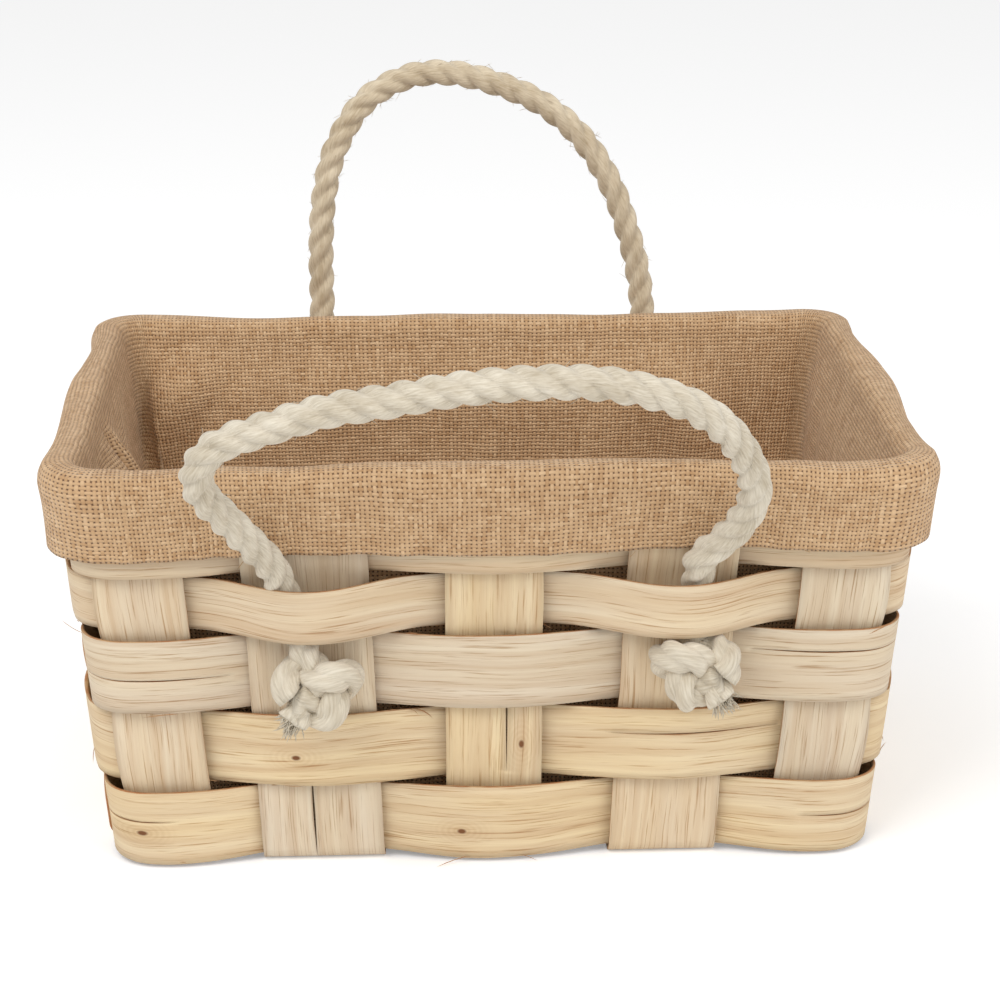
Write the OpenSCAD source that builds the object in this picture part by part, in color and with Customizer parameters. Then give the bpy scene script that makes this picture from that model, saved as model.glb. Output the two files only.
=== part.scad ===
// Rectangular basket woven from wide chipwood strips, with a hessian liner
// turned out over the rim and two rope handles knotted through the weave.
// Millimetres, +Z up, front towards -Y, origin under the middle of the base.

/* [Basket body] */
// Width of the base between the middles of the left and right walls
base_w = 310; // [260:1:360]
// Depth of the base between the middles of the front and back walls
base_d = 200; // [170:1:240]
// Outward lean of every wall, per millimetre of height
wall_flare = 0.08; // [0:0.01:0.15]
// Radius of the upright corners
corner_r = 18; // [14:1:24]
// Radius where a strip turns from the wall under the base
bend_r = 6; // [4:0.5:8]

/* [Chipwood strips] */
// Thickness of every chipwood strip
strip_t = 1.2; // [0.8:0.1:1.4]
// Clearance kept between strips that lie on each other
strip_gap = 0.3; // [0.2:0.05:0.5]
// Width of the two outermost long strips
outer_strip_w = 36; // [30:1:40]
// Width of the long strip left of the middle
left_strip_w = 50; // [40:1:52]
// Width of the middle long strip
middle_strip_w = 39; // [32:1:46]
// Width of the long strip right of the middle
right_strip_w = 44; // [36:1:50]
// Width of the cross strips
cross_strip_w = 36; // [30:1:40]
// Height of woven row 1, the lowest
row_1_h = 32; // [26:1:36]
// Height of woven row 2
row_2_h = 32; // [26:1:36]
// Height of woven row 3
row_3_h = 32; // [26:1:36]
// Height of woven row 4, which the rope ends pass behind
row_4_h = 23; // [20:1:28]
// Height of woven row 5, under the cuff
row_5_h = 30; // [26:1:36]
// Gap between one woven row and the next
row_gap = 1.6; // [1.2:0.1:2.5]

/* [Weave] */
// Swing of a woven row to each side of the wall's middle
row_swing = 5; // [4.6:0.1:5.6]
// Swing of the top row's upper edge, held by the rim band
rim_swing = 2.6; // [2.4:0.1:3.4]
// Swing of an upright strip to each side of the wall's middle
strip_swing = 1.6; // [1.5:0.1:2]
// Reach of a lapped end to each side of its strip, in strip spacings
lap_reach = 0.6; // [0.5:0.02:0.62]
// Height of the band inside the rim
rim_band_h = 16; // [12:1:20]

/* [Hessian liner] */
// Thickness of the doubled hessian
cloth_t = 1.5; // [1:0.1:2]
// Distance from the top of the fold down to the cuff's edge
cuff_h = 36; // [33:1:38]
// Height of the fold over the strip tips
fold_h = 9; // [7:0.5:12]

/* [Rope handles] */
// Diameter of the rope
rope_d = 12; // [10:0.5:13]
// Width of an overhand knot
knot_w = 36; // [30:1:40]
// Height of an overhand knot
knot_h = 30; // [26:1:33]
// Thickness of an overhand knot, out from the wall
knot_deep = 24; // [20:1:28]
// Outward lean of the front handle at rest, from upright
front_lean = 33; // [20:1:60]
// Outward lean of the back handle at rest, against the cuff
back_lean = 6; // [6:1:20]

/* [Hidden] */
// Places of the strips, as shares of the straight half of their wall
LONG_AT = [-0.94, -0.5, 0, 0.5, 0.94];
CROSS_AT = [-0.72, 0, 0.72];
LONG_W = [outer_strip_w, left_strip_w, middle_strip_w, right_strip_w, outer_strip_w];

// The strip that each woven row's ends are lapped over, counted round the loop
// from the left end of the front wall
LAP_AT = [14, 7, 6, 13, 14];
CROSSINGS = 16;

// Free arches of the two handles, in the handle's own plane: x, then distance
// from the hinge line, for a rope that leaves the weave and comes back
FRONT_ARCH = [[-86, 0], [-91, 10], [-102, 30], [-109, 43], [-111, 54], [-108, 65], [-100, 74], [-84, 82],
    [-63, 91], [-41, 96], [-16, 102], [10, 105], [36, 104], [62, 95], [80, 80], [92, 58], [96, 38],
    [91, 19], [84, 8], [79, 0]];
BACK_ARCH = [[-71, 0], [-70, 20], [-70, 42], [-70, 66], [-68, 90], [-62, 112], [-49, 132], [-30, 143],
    [-10, 145], [12, 140], [34, 130], [52, 114], [65, 93], [73, 71], [78, 50], [80, 30], [81, 14], [80, 0]];

// Where each knot sits: x, then height
FRONT_KNOTS = [[-69, 82], [78, 88]];
BACK_KNOTS = [[-71, 85], [79, 84]];

// Heights of the woven rows
ROW_H = [row_1_h, row_2_h, row_3_h, row_4_h, row_5_h];
ROWS = len(ROW_H);
TOP_ROW = ROWS - 1;
ROPE_ROW = 3;
base_level = strip_t + strip_gap / 2;
base_swing = (strip_t + strip_gap) / 2;
base_top = 2 * strip_t + strip_gap;
foot_clear = 1.15;
row_foot = base_top / 2 + foot_clear;
foot_wave = 1.2;
function row_low(r) = row_foot + (r == 0 ? 0 : row_low(r - 1) + ROW_H[r - 1] + row_gap - row_foot);
function row_high(r) = row_low(r) + ROW_H[r];
function row_mid(r) = (row_low(r) + row_high(r)) / 2;
tip_over = 5.5;
tip_z = row_high(TOP_ROW) + tip_over;

// The wall's middle surface: a rounded rectangle that widens with height
function half_w(z) = base_w / 2 + wall_flare * z;
function half_d(z) = base_d / 2 + wall_flare * z;
function straight_w(z) = half_w(z) - corner_r;
function straight_d(z) = half_d(z) - corner_r;
arc_len = PI * corner_r / 2;
function quarter(z) = straight_w(z) + arc_len + straight_d(z);

// A point beside the middle of one wall: d along the wall and on round its
// corner, off outward; across is the half straight of the walls beside it
function wall_point(d, off, along, across) =
    let (e = abs(d),
        turn = min(90, max(0, (e - along) / corner_r * 180 / PI)),
        past = max(0, e - along - arc_len))
    [(d < 0 ? -1 : 1) * (min(e, along) + (corner_r + off) * sin(turn)),
        past - across - (corner_r + off) * cos(turn)];

// A point round the whole loop: s from the middle of the front wall
function loop_point(s, z, off) =
    let (m = floor(s / quarter(z)),
        even = m % 2 == 0,
        p = wall_point(s - m * quarter(z), off,
            even ? straight_w(z) : straight_d(z), even ? straight_d(z) : straight_w(z)),
        turn = 90 * m)
    [p.x * cos(turn) - p.y * sin(turn), p.x * sin(turn) + p.y * cos(turn), z];

// Place round the loop of crossing k; whole numbers are strip middles
WALL_OF = [0, 0, 0, 0, 0, 1, 1, 1, 2, 2, 2, 2, 2, 3, 3, 3];
SHARE_OF = concat(LONG_AT, CROSS_AT, LONG_AT, CROSS_AT);
function strip_place(k, z) =
    let (lap = floor(k / CROSSINGS), i = k - lap * CROSSINGS, wall = WALL_OF[i])
    (4 * lap + wall) * quarter(z) + SHARE_OF[i] * (wall % 2 == 0 ? straight_w(z) : straight_d(z));
function place(phi, z) =
    let (k = floor(phi), f = phi - k)
    (1 - f) * strip_place(k, z) + f * strip_place(k + 1, z);

function clamp(v, low, high) = min(high, max(low, v));
function ease(t) = let (u = clamp(t, 0, 1)) u * u * (3 - 2 * u);
function bump(t) = abs(t) < 1 ? 0.5 + 0.5 * cos(180 * t) : 0;

// Depth of an upright strip in the weave at height z: inside the rows that
// pass in front of it, outside those that pass behind
function row_count(z) =
    let (c = [for (r = [0:ROWS - 1]) row_mid(r)],
        r = clamp(len([for (m = c) if (m <= z) m]) - 1, 0, ROWS - 2))
    clamp(r + (z - c[r]) / (c[r + 1] - c[r]), 0, ROWS - 1);
function strip_off(k, z) = -strip_swing * cos(180 * (row_count(z) + k));

// Rings of points joined in order into one closed solid; each ring runs down
// one side and back up the other, so its ends close as rows of pairs
module loft(rings) {
    n = len(rings[0]);
    count = len(rings);
    sides = [for (i = [0:count - 2], j = [0:n - 1])
        let (a = i * n + j, b = i * n + (j + 1) % n)
        each [[a, b, b + n], [a, b + n, a + n]]];
    foot = [for (j = [0:n / 2 - 2]) each [[n - 2 - j, j + 1, j], [n - 1 - j, n - 2 - j, j]]];
    last = (count - 1) * n;
    head = [for (j = [0:n / 2 - 2]) each
        [[last + j, last + j + 1, last + n - 2 - j], [last + j, last + n - 2 - j, last + n - 1 - j]]];
    polyhedron(points = [for (r = rings) each r], faces = concat(sides, foot, head), convexity = 10);
}

// One upright strip, from its tip down the wall, round the bend and under the
// base to the middle: rows of points across it for one face. side is 1 for
// the outer face and -1 for the inner one
WALL_STEPS = 18;
BEND_STEPS = 4;

// Level reach kept past each edge of a strip crossed under the base, and the
// share of the first step that stays level after the bend
flat_over = 1;
flat_first = 0.3;
function strip_ring(across, share, low, k, side_w, z, turn, inset, under) =
    let (along = side_w ? straight_w(z) : straight_d(z),
        beside = side_w ? straight_d(z) : straight_w(z))
    [for (side = [1, -1], w = side > 0 ? across : reverse(across))
        let (skin = side * strip_t / 2,
            off = strip_off(k, max(z, low + bend_r)) + (turn > 0 ? 0 : skin),
            p = wall_point(share * along + w, off, along, beside),
            y = p.y + inset - (turn > 0 ? skin * cos(turn) : 0))
        [p.x, y * (1 - under), z - skin * sin(turn)]];
function reverse(v) = [for (i = [len(v) - 1:-1:0]) v[i]];

// crossings: the strips that this one crosses under the base, from the
// outermost in: distance, this strip's level, +1 over or -1 under, and width
function strip_half(across, share, k, side_w, crossings) =
    let (levels = [for (c = crossings) base_level + base_swing * c[1]],
        low = levels[0],
        foot = (side_w ? half_d(low) : half_w(low)) - bend_r,
        stops = concat([foot], [for (c = crossings) c[0]]),
        heights = concat([low], levels))
    concat(
        [for (i = [0:WALL_STEPS - 1])
            let (z = tip_z + (low + bend_r - tip_z) * i / WALL_STEPS)
            strip_ring(across, share, low, k, side_w, z, 0, 0, 0)],
        [for (i = [0:BEND_STEPS])
            let (turn = max(0.01, 90 * i / BEND_STEPS))
            strip_ring(across, share, low, k, side_w, low + bend_r * (1 - sin(turn)), turn,
                bend_r * (1 - cos(turn)), 0)],
        [for (i = [0:len(crossings) - 1])
            let (start = stops[i],
                step = stops[i + 1] - start,
                from = i == 0 ? flat_first : -(crossings[i - 1][2] / 2 + flat_over) / step,
                to = 1 + (crossings[i][2] / 2 + flat_over) / step)
            for (t = i == 0 ? [from] : [0, from, (from + to) / 2, to])
                base_ring(across, share, low, k, side_w,
                    heights[i] + (heights[i + 1] - heights[i]) * ease((t - from) / (to - from)),
                    1 - (start + step * t) / foot)]);
function base_ring(across, share, low, k, side_w, z, under) =
    [for (p = strip_ring(across, share, low, k, side_w, low, 90, bend_r, under))
        [p.x, p.y, p.z - low + z]];

// The middle ring under the base, shared by the two halves
function strip_rings(across, share, k, side_w, crossings) =
    let (half = strip_half(across, share, k, side_w, crossings),
        last = crossings[len(crossings) - 1],
        centre = base_ring(across, share, base_level + base_swing * crossings[0][1], k, side_w,
            base_level + base_swing * last[1], 1))
    concat(half, [centre], [for (ring = reverse(half)) [for (p = ring) [p.x, -p.y, p.z]]]);

// Points across a strip; an outer long strip also follows the corner
function flat_across(w) = [-w / 2, w / 2];
function corner_across(w, share) =
    let (edge = (1 - abs(share)) * straight_w(tip_z / 2))
    share > 0 ? [-w / 2, edge, w / 2] : [-w / 2, -edge, w / 2];

// Over and under alternate like a draughts board
function over(i, j) = (i + j) % 2 == 0 ? 1 : -1;

module long_strip(i) {
    w = LONG_W[i];
    outer = i == 0 || i == len(LONG_AT) - 1;
    crossings = [for (j = [0:1]) [abs(CROSS_AT[j]) * straight_d(0), over(i, j), cross_strip_w]];
    color("burlywood")
        loft(strip_rings(outer ? corner_across(w, LONG_AT[i]) : flat_across(w), LONG_AT[i], i, true,
            crossings));
}

module cross_strip(j) {
    k = len(LONG_AT) + j;
    crossings = [for (i = [0:2])
        [abs(LONG_AT[i]) * straight_w(0), -over(i, j), max(LONG_W[i], LONG_W[len(LONG_W) - 1 - i])]];
    color("burlywood")
        rotate([0, 0, 90])
            loft(strip_rings(flat_across(cross_strip_w), CROSS_AT[j], k, false, crossings));
}

// A band round the walls, from one lapped end to the other
STEPS_STRAIGHT = 5;
STEPS_CORNER = 8;
CORNER_FROM = [4, 7, 12, 15];
lap_fade = 0.5;
lap_half = 0.55 * (strip_t + strip_gap);
function band_stations(lap) =
    let (first = lap - lap_reach, last = lap + CROSSINGS + lap_reach)
    concat([first],
        [for (k = [lap - 1:lap + CROSSINGS])
            let (steps = len(search((k + CROSSINGS) % CROSSINGS, CORNER_FROM)) > 0
                ? STEPS_CORNER : STEPS_STRAIGHT)
            for (i = [0:steps - 1])
                let (phi = k + i / steps)
                if (phi > first + 0.02 && phi < last - 0.02) phi],
        [last]);
function lap_shift(phi, lap) =
    let (from_first = phi - lap - lap_reach, to_last = lap + CROSSINGS - lap_reach - phi)
    lap_half * (ease(1 - to_last / lap_fade) - ease(1 - from_first / lap_fade));

// Row 4 is pushed outward where a rope end passes behind it
ROPED = [1, 3, 9, 11];
rope_bulge = rope_d - 1;
pocket_half = 0.65;
function pocket(phi) =
    max([for (k = ROPED, lap = [-1, 0, 1]) bump((phi - k - lap * CROSSINGS) / pocket_half)]);

// heights, middles and swings each give the lower edge, then the upper
module band(heights, low_wave, parity, middles, swings, bulge, lap) {
    high = heights[1];
    loft([for (phi = band_stations(lap))
        let (wave = cos(180 * (phi + parity)),
            shift = lap_shift(phi, lap) + bulge * pocket(phi),
            z0 = heights[0] - low_wave * wave,
            in0 = middles[0] + shift + swings[0] * wave,
            in1 = middles[1] + shift + swings[1] * wave,
            half = strip_t / 2)
        [loop_point(place(phi, z0), z0, in0 + half), loop_point(place(phi, high), high, in1 + half),
            loop_point(place(phi, high), high, in1 - half), loop_point(place(phi, z0), z0, in0 - half)]]);
}

module weaver_row(r) {
    color("wheat")
        band([row_low(r), row_high(r)], r == 0 ? foot_wave : 0, r, [0, 0],
            [row_swing, r == TOP_ROW ? rim_swing : row_swing], r == ROPE_ROW ? rope_bulge : 0, LAP_AT[r]);
}

// The band inside the rim lies against row 5, whose swing lessens upward
rim_drop = 3.5;
RIM_LAP = 10;
rim_high = tip_z - rim_drop;
rim_low = rim_high - rim_band_h;
function rim_off(z) =
    -(rim_swing + max(0, (row_swing - rim_swing) * (row_high(TOP_ROW) - z) / row_5_h) + strip_t + strip_gap);
module rim_band() {
    color("tan")
        band([rim_low, rim_high], 0, 0, [rim_off(rim_low), rim_off(rim_high)], [0, 0], 0, RIM_LAP);
}

// The liner: rings round the basket, from the middle of the floor up the
// inside, over the rim, down the cuff and back to the floor's underside
liner_in = -(max(row_swing, lap_half - rim_off(rim_low)) + strip_t / 2 + 2 * strip_gap);
liner_face = liner_in - cloth_t;
fold_top = tip_z + fold_h;
cuff_mid = 6.8;
cuff_wave = 2.2;
cuff_low = fold_top - cuff_h;
floor_low = base_top + 2 * strip_gap;
LINER_STEPS = 4;
function cuff_off(phi) = cuff_mid + cuff_wave * cos(180 * phi);
function liner_ring(z, fixed, share) =
    [for (k = [0:CROSSINGS - 1], i = [0:LINER_STEPS - 1])
        let (phi = k + (i + 0.5) / LINER_STEPS)
        loop_point(place(phi, z), z, fixed + share * cuff_off(phi))];
module hessian_liner() {
    tuck = 5;
    color("peru")
        loft([
            liner_ring(floor_low + cloth_t, liner_face - 2 * tuck, 0),
            liner_ring(floor_low + cloth_t + 1.5, liner_face - tuck / 2, 0),
            liner_ring(floor_low + cloth_t + 2 * tuck, liner_face, 0),
            liner_ring(tip_z - 3, liner_face, 0),
            liner_ring(tip_z + fold_h * 0.6, liner_face + 1.2, 0),
            liner_ring(fold_top, liner_in + 3, 0.1),
            liner_ring(fold_top - 1, -2.6, 1),
            liner_ring(tip_z + 1.5, 0, 1),
            liner_ring(cuff_low, 0, 1),
            liner_ring(cuff_low, -cloth_t, 1),
            liner_ring(tip_z - 1, -cloth_t, 1),
            liner_ring(tip_z + 1.6, -cloth_t - 0.8, 0.9),
            liner_ring(tip_z + 1.6, liner_in + 1.5, 0.1),
            liner_ring(tip_z - 3, liner_in, 0),
            liner_ring(floor_low + cloth_t + 2 * tuck, liner_in, 0),
            liner_ring(floor_low + 1, liner_in - tuck / 2, 0),
            liner_ring(floor_low, liner_in - 2 * tuck, 0)]);
}

// Rope: a tube swept along a smooth curve through its route's points
ROPE_SIDES = 10;
ROPE_STEPS = 2;
rope_r = rope_d / 2;
function unit(v) = v / norm(v);
function curve(p, i, t) =
    let (a = p[max(i - 1, 0)], b = p[i], c = p[i + 1], d = p[min(i + 2, len(p) - 1)])
    0.5 * (2 * b + (c - a) * t + (2 * a - 5 * b + 4 * c - d) * t * t + (3 * b - a - 3 * c + d) * t * t * t);
function smooth(p) =
    concat([for (i = [0:len(p) - 2], s = [0:ROPE_STEPS - 1]) curve(p, i, s / ROPE_STEPS)], [p[len(p) - 1]]);
function rope_ring(at, along, beside, r) =
    let (u = unit(beside - (beside * along) * along), v = cross(along, u))
    [for (i = [0:ROPE_SIDES - 1])
        let (a = 360 * (i + 0.5) / ROPE_SIDES)
        at + r * (cos(a) * u + sin(a) * v)];
function rope_rings(line, beside, r) =
    [for (i = [0:len(line) - 1])
        rope_ring(line[i], unit(line[min(i + 1, len(line) - 1)] - line[max(i - 1, 0)]), beside, r)];

// A half ball on an end that turns about its hinge line, from its pole in
BALL_STEPS = [80, 55, 28];
function ball_end(at, outward, along, beside) =
    [for (a = BALL_STEPS) rope_ring(at + outward * rope_r * sin(a), along, beside, rope_r * cos(a))];

// The hinge line of each handle runs where its rope clears row 4 and the cuff
hinge_lift = 3.2;
cuff_clear = 0.2;
pivot_z = row_high(ROPE_ROW) + rope_r + hinge_lift;
pivot_off = cuff_mid - cuff_wave + cuff_clear + rope_r + strip_gap;
pivot_y = half_d(pivot_z) + pivot_off;

module handle_rope(route, lean) {
    line = smooth([for (p = route) [p.x, -pivot_y - p.y * sin(lean), pivot_z + p.y * cos(lean)]]);
    beside = [0, -cos(lean), -sin(lean)];
    first = unit(line[0] - line[1]);
    end = len(line) - 1;
    last = unit(line[end] - line[end - 1]);
    color("cornsilk")
        loft(concat(
            ball_end(line[0], first, -first, beside),
            rope_rings(line, beside, rope_r),
            reverse(ball_end(line[end], last, last, beside))));
}

// A rope end lies against its strip behind row 4, then runs into its knot
tail_lean = 27;
tail_clear = 1;
knot_off = strip_swing + strip_t / 2 + strip_gap + knot_deep / 2;
function tail_off(z) = strip_off(1, z) + strip_t / 2 + strip_gap + rope_r;
function tail_x(z, exit_x, knot) = knot.x + (exit_x - knot.x) * (z - knot.y) / (pivot_z - knot.y);
module rope_tail(exit_x, knot) {
    reach = rope_r + tail_clear;
    top_z = pivot_z - reach * cos(tail_lean);
    top_off = pivot_off - reach * sin(tail_lean);
    heights = [row_high(ROPE_ROW) - 2, row_mid(ROPE_ROW) + 2, row_mid(ROPE_ROW) - 5,
        row_low(ROPE_ROW) - 1, row_low(ROPE_ROW) - 7];
    spare = [0.7, 0.2, 0.2, 0.4, 2.5];
    route = concat([[tail_x(top_z, exit_x, knot), -half_d(top_z) - top_off, top_z]],
        [for (i = [0:len(heights) - 1])
            let (z = heights[i])
            [tail_x(z, exit_x, knot), -half_d(z) - tail_off(z) - spare[i], z]],
        [[knot.x, -half_d(knot.y) - knot_off + 1, knot.y + knot_h / 4]]);
    color("cornsilk")
        loft(rope_rings(smooth(route), [1, 0, 0], rope_r));
}

// An overhand knot: three turns of rope pulled tight round each other
KNOT_RINGS = 12;
KNOT_SIDES = 16;
KNOT_TURNS = [[0.25, 0.2, 1], [0.9, 0.1, 0.45], [-0.75, 0.5, 0.5]];
knot_core = 0.8;
function turn_height(n, axis) = let (h = abs(n * unit(axis)) / 0.42) h < 1 ? sqrt(1 - h * h) : 0;
function knot_reach(n) = knot_core + (1 - knot_core) * max([for (a = KNOT_TURNS) turn_height(n, a)]);
module rope_knot(knot) {
    at = [knot.x, -half_d(knot.y) - knot_off, knot.y];
    color("cornsilk")
        translate(at)
            loft([for (i = [0:KNOT_RINGS - 1])
                let (up = -80 + 160 * i / (KNOT_RINGS - 1))
                [for (j = [0:KNOT_SIDES - 1])
                    let (a = 360 * (j + 0.5) / KNOT_SIDES,
                        n = [cos(up) * cos(a), cos(up) * sin(a), sin(up)],
                        r = knot_reach(n))
                    [n.x * r * knot_w / 2, n.y * r * knot_deep / 2, n.z * r * knot_h / 2]]]);
}

module at_back() {
    mirror([0, 1, 0]) children();
}

long_strip(0);  // long_strip_1
long_strip(1);  // long_strip_2
long_strip(2);  // long_strip_3
long_strip(3);  // long_strip_4
long_strip(4);  // long_strip_5
cross_strip(0);  // cross_strip_1
cross_strip(1);  // cross_strip_2
cross_strip(2);  // cross_strip_3
weaver_row(0);  // weaver_row_1
weaver_row(1);  // weaver_row_2
weaver_row(2);  // weaver_row_3
weaver_row(3);  // weaver_row_4
weaver_row(4);  // weaver_row_5
rim_band();
hessian_liner();
handle_rope(FRONT_ARCH, front_lean);  // front_handle_rope
at_back() handle_rope(BACK_ARCH, back_lean);  // back_handle_rope
rope_tail(FRONT_ARCH[0].x, FRONT_KNOTS[0]);  // front_left_rope_tail
rope_tail(FRONT_ARCH[len(FRONT_ARCH) - 1].x, FRONT_KNOTS[1]);  // front_right_rope_tail
at_back() rope_tail(BACK_ARCH[0].x, BACK_KNOTS[0]);  // back_left_rope_tail
at_back() rope_tail(BACK_ARCH[len(BACK_ARCH) - 1].x, BACK_KNOTS[1]);  // back_right_rope_tail
rope_knot(FRONT_KNOTS[0]);  // front_left_knot
rope_knot(FRONT_KNOTS[1]);  // front_right_knot
at_back() rope_knot(BACK_KNOTS[0]);  // back_left_knot
at_back() rope_knot(BACK_KNOTS[1]);  // back_right_knot
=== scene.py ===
"""Woven chipwood basket with a hessian liner and two rope handles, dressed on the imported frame."""

import logging
import math
import random
from collections.abc import Callable, Sequence
from dataclasses import dataclass
from enum import Enum
from typing import NamedTuple

import bmesh
import bpy
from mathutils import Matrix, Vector, noise


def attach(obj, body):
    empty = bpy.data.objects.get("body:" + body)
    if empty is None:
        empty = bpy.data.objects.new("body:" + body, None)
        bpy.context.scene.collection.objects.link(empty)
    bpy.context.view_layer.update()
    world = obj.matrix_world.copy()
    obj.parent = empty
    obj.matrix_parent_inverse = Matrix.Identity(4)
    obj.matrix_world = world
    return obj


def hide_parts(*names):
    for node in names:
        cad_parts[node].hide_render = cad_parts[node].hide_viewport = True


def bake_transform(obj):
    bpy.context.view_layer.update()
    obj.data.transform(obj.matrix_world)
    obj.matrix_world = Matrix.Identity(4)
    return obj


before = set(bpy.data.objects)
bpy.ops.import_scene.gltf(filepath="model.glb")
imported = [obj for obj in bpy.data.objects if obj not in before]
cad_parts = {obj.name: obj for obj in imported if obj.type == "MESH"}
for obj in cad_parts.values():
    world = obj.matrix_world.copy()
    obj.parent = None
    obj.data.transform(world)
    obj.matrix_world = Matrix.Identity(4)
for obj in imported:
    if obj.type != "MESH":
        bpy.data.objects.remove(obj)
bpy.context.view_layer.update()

log = logging.getLogger("basket")
Place = Callable[[float, float], Vector]
Socket = bpy.types.NodeSocket
Colour = tuple[float, ...]
WHITE = (1.0, 1.0, 1.0, 1.0)


class Body(Enum):
    """The bodies that pieces ride on."""

    BASKET = "basket"
    FRONT_HANDLE = "front_handle"
    BACK_HANDLE = "back_handle"


class Wall(Enum):
    """The side of the basket that a handle is tied to, as the sign of its y."""

    FRONT = -1
    BACK = 1


def srgb(red: int, green: int, blue: int) -> Colour:
    """Turn an 8-bit display colour into the linear colour that a shader takes."""
    linear = [((c / 255 + 0.055) / 1.055) ** 2.4 for c in (red, green, blue)]
    return (*linear, 1.0)


def mix(low: float, high: float, share: float) -> float:
    """Value a share of the way from low to high."""
    return low + (high - low) * share


def ease(share: float) -> float:
    """Smooth step from 0 to 1."""
    held = min(1.0, max(0.0, share))
    return held * held * (3 - 2 * held)


def bump(distance: float) -> float:
    """Smooth hill of height 1 at 0 that ends at 1 to each side."""
    return 0.5 + 0.5 * math.cos(math.pi * distance) if abs(distance) < 1 else 0.0


def ripple(*at: float) -> float:
    """Smooth noise from -1 to 1 at up to three coordinates."""
    return noise.noise(Vector((*at, 0.0, 0.0)[:3]))


def scatter(rng: random.Random, reach: float = 1.0) -> Vector:
    """Random vector whose parts are drawn in order, each up to reach to either side."""
    return Vector([rng.uniform(-reach, reach) for _ in range(3)])


def smooth_route(points: Sequence[Vector], steps: int) -> list[Vector]:
    """Pass one smooth curve through the points of a route.

    Args:
        points: the route, in metres.
        steps: how many stretches the curve has between two points.

    Returns:
        The points of the curve, both ends included.
    """
    line = []
    for i in range(len(points) - 1):
        a, b = points[max(i - 1, 0)], points[i]
        c, d = points[i + 1], points[min(i + 2, len(points) - 1)]
        for step in range(steps):
            t = step / steps
            line.append(0.5 * (2 * b + (c - a) * t + (2 * a - 5 * b + 4 * c - d) * t * t
                               + (3 * b - a - 3 * c + d) * t ** 3))
    return [*line, points[-1]]


def even_steps(line: Sequence[Vector], pitch: float) -> list[Vector]:
    """Walk a line in equal steps of about pitch metres."""
    lengths = [0.0]
    for a, b in zip(line, line[1:]):
        lengths.append(lengths[-1] + (b - a).length)
    count = max(2, round(lengths[-1] / pitch))
    walked, i = [], 0
    for step in range(count + 1):
        goal = lengths[-1] * step / count
        while i < len(line) - 2 and lengths[i + 1] < goal:
            i += 1
        span = lengths[i + 1] - lengths[i]
        walked.append(line[i].lerp(line[i + 1], (goal - lengths[i]) / span if span else 0.0))
    return walked


def route_length(line: Sequence[Vector]) -> float:
    """Length of a line of points."""
    return sum((b - a).length for a, b in zip(line, line[1:]))


# ---- mesh building


def mapped_grid(bm: bmesh.types.BMesh, along: int, across: int, place: Place,
                unwrap: Callable[[float, float], tuple[float, float]],
                keep: Callable[[float, float], bool] | None = None) -> None:
    """Add a grid whose corners are moved to their place and unwrapped.

    Args:
        bm: the mesh that the grid is added to.
        along: cells in the first direction.
        across: cells in the second direction.
        place: gives the place of a corner from its two shares, 0 to 1.
        unwrap: gives its texture coordinates, in metres, from the same shares.
        keep: says whether a cell stays, from the shares of its middle.
    """
    made = bmesh.ops.create_grid(bm, x_segments=along, y_segments=across, size=1.0)["verts"]
    flat = {vert: ((vert.co.x + 1) / 2, (vert.co.y + 1) / 2) for vert in made}
    faces = list(dict.fromkeys(face for vert in made for face in vert.link_faces))
    layer = bm.loops.layers.uv.verify()
    for face in faces:
        face.smooth = True
        for loop in face.loops:
            loop[layer].uv = unwrap(*flat[loop.vert])
    if keep:
        middles = {face: [sum(flat[v][i] for v in face.verts) / len(face.verts) for i in (0, 1)]
                   for face in faces}
        dropped = [face for face, middle in middles.items() if not keep(*middle)]
        bmesh.ops.delete(bm, geom=dropped, context="FACES")
    for vert, (u, v) in flat.items():
        if vert.is_valid:
            vert.co = place(u, v)


def add_tube(bm: bmesh.types.BMesh, line: Sequence[Vector], sides: int,
             radius: Callable[[float, float], float]) -> None:
    """Sweep a round section along a line, with a closed point at each end.

    Args:
        bm: the mesh that the tube is added to.
        line: the middle of the tube.
        sides: how many sides the section has.
        radius: gives the radius from the distance along the line and the angle.
    """
    count = len(line) - 1
    total = route_length(line)
    tangents = [(line[min(i + 1, count)] - line[max(i - 1, 0)]).normalized() for i in range(count + 1)]
    first = tangents[0].orthogonal().normalized()
    normals = [first]
    for tangent in tangents[1:]:
        normals.append((normals[-1] - tangent * normals[-1].dot(tangent)).normalized())

    def place(u: float, v: float) -> Vector:
        """Point on the section that is a share u along the line."""
        i = round(u * count)
        if i in (0, count):
            return line[i].copy()
        angle = 2 * math.pi * (v % 1.0)
        side = normals[i].cross(tangents[i])
        reach = radius(total * i / count, angle)
        return line[i] + reach * (math.cos(angle) * normals[i] + math.sin(angle) * side)

    girth = 2 * math.pi * radius(total / 2, 0.0)
    mapped_grid(bm, count, sides, place, lambda u, v: (u * total, v * girth))


def finished(bm: bmesh.types.BMesh, name: str, closed: bool = False) -> bpy.types.Object:
    """Turn a bmesh into an object at the origin.

    Args:
        bm: the mesh, which is freed.
        name: the piece's name.
        closed: True where its seams are merged and its faces turned outwards.

    Returns:
        The linked object.
    """
    if closed:
        bmesh.ops.remove_doubles(bm, verts=bm.verts, dist=1e-6)
        bmesh.ops.dissolve_degenerate(bm, edges=bm.edges, dist=1e-7)
        bmesh.ops.recalc_face_normals(bm, faces=bm.faces)
    mesh = bpy.data.meshes.new(name)
    bm.to_mesh(mesh)
    bm.free()
    piece = bpy.data.objects.new(name, mesh)
    bpy.context.scene.collection.objects.link(piece)
    log.info("%s: %d faces", name, len(mesh.polygons))
    return piece


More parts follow.
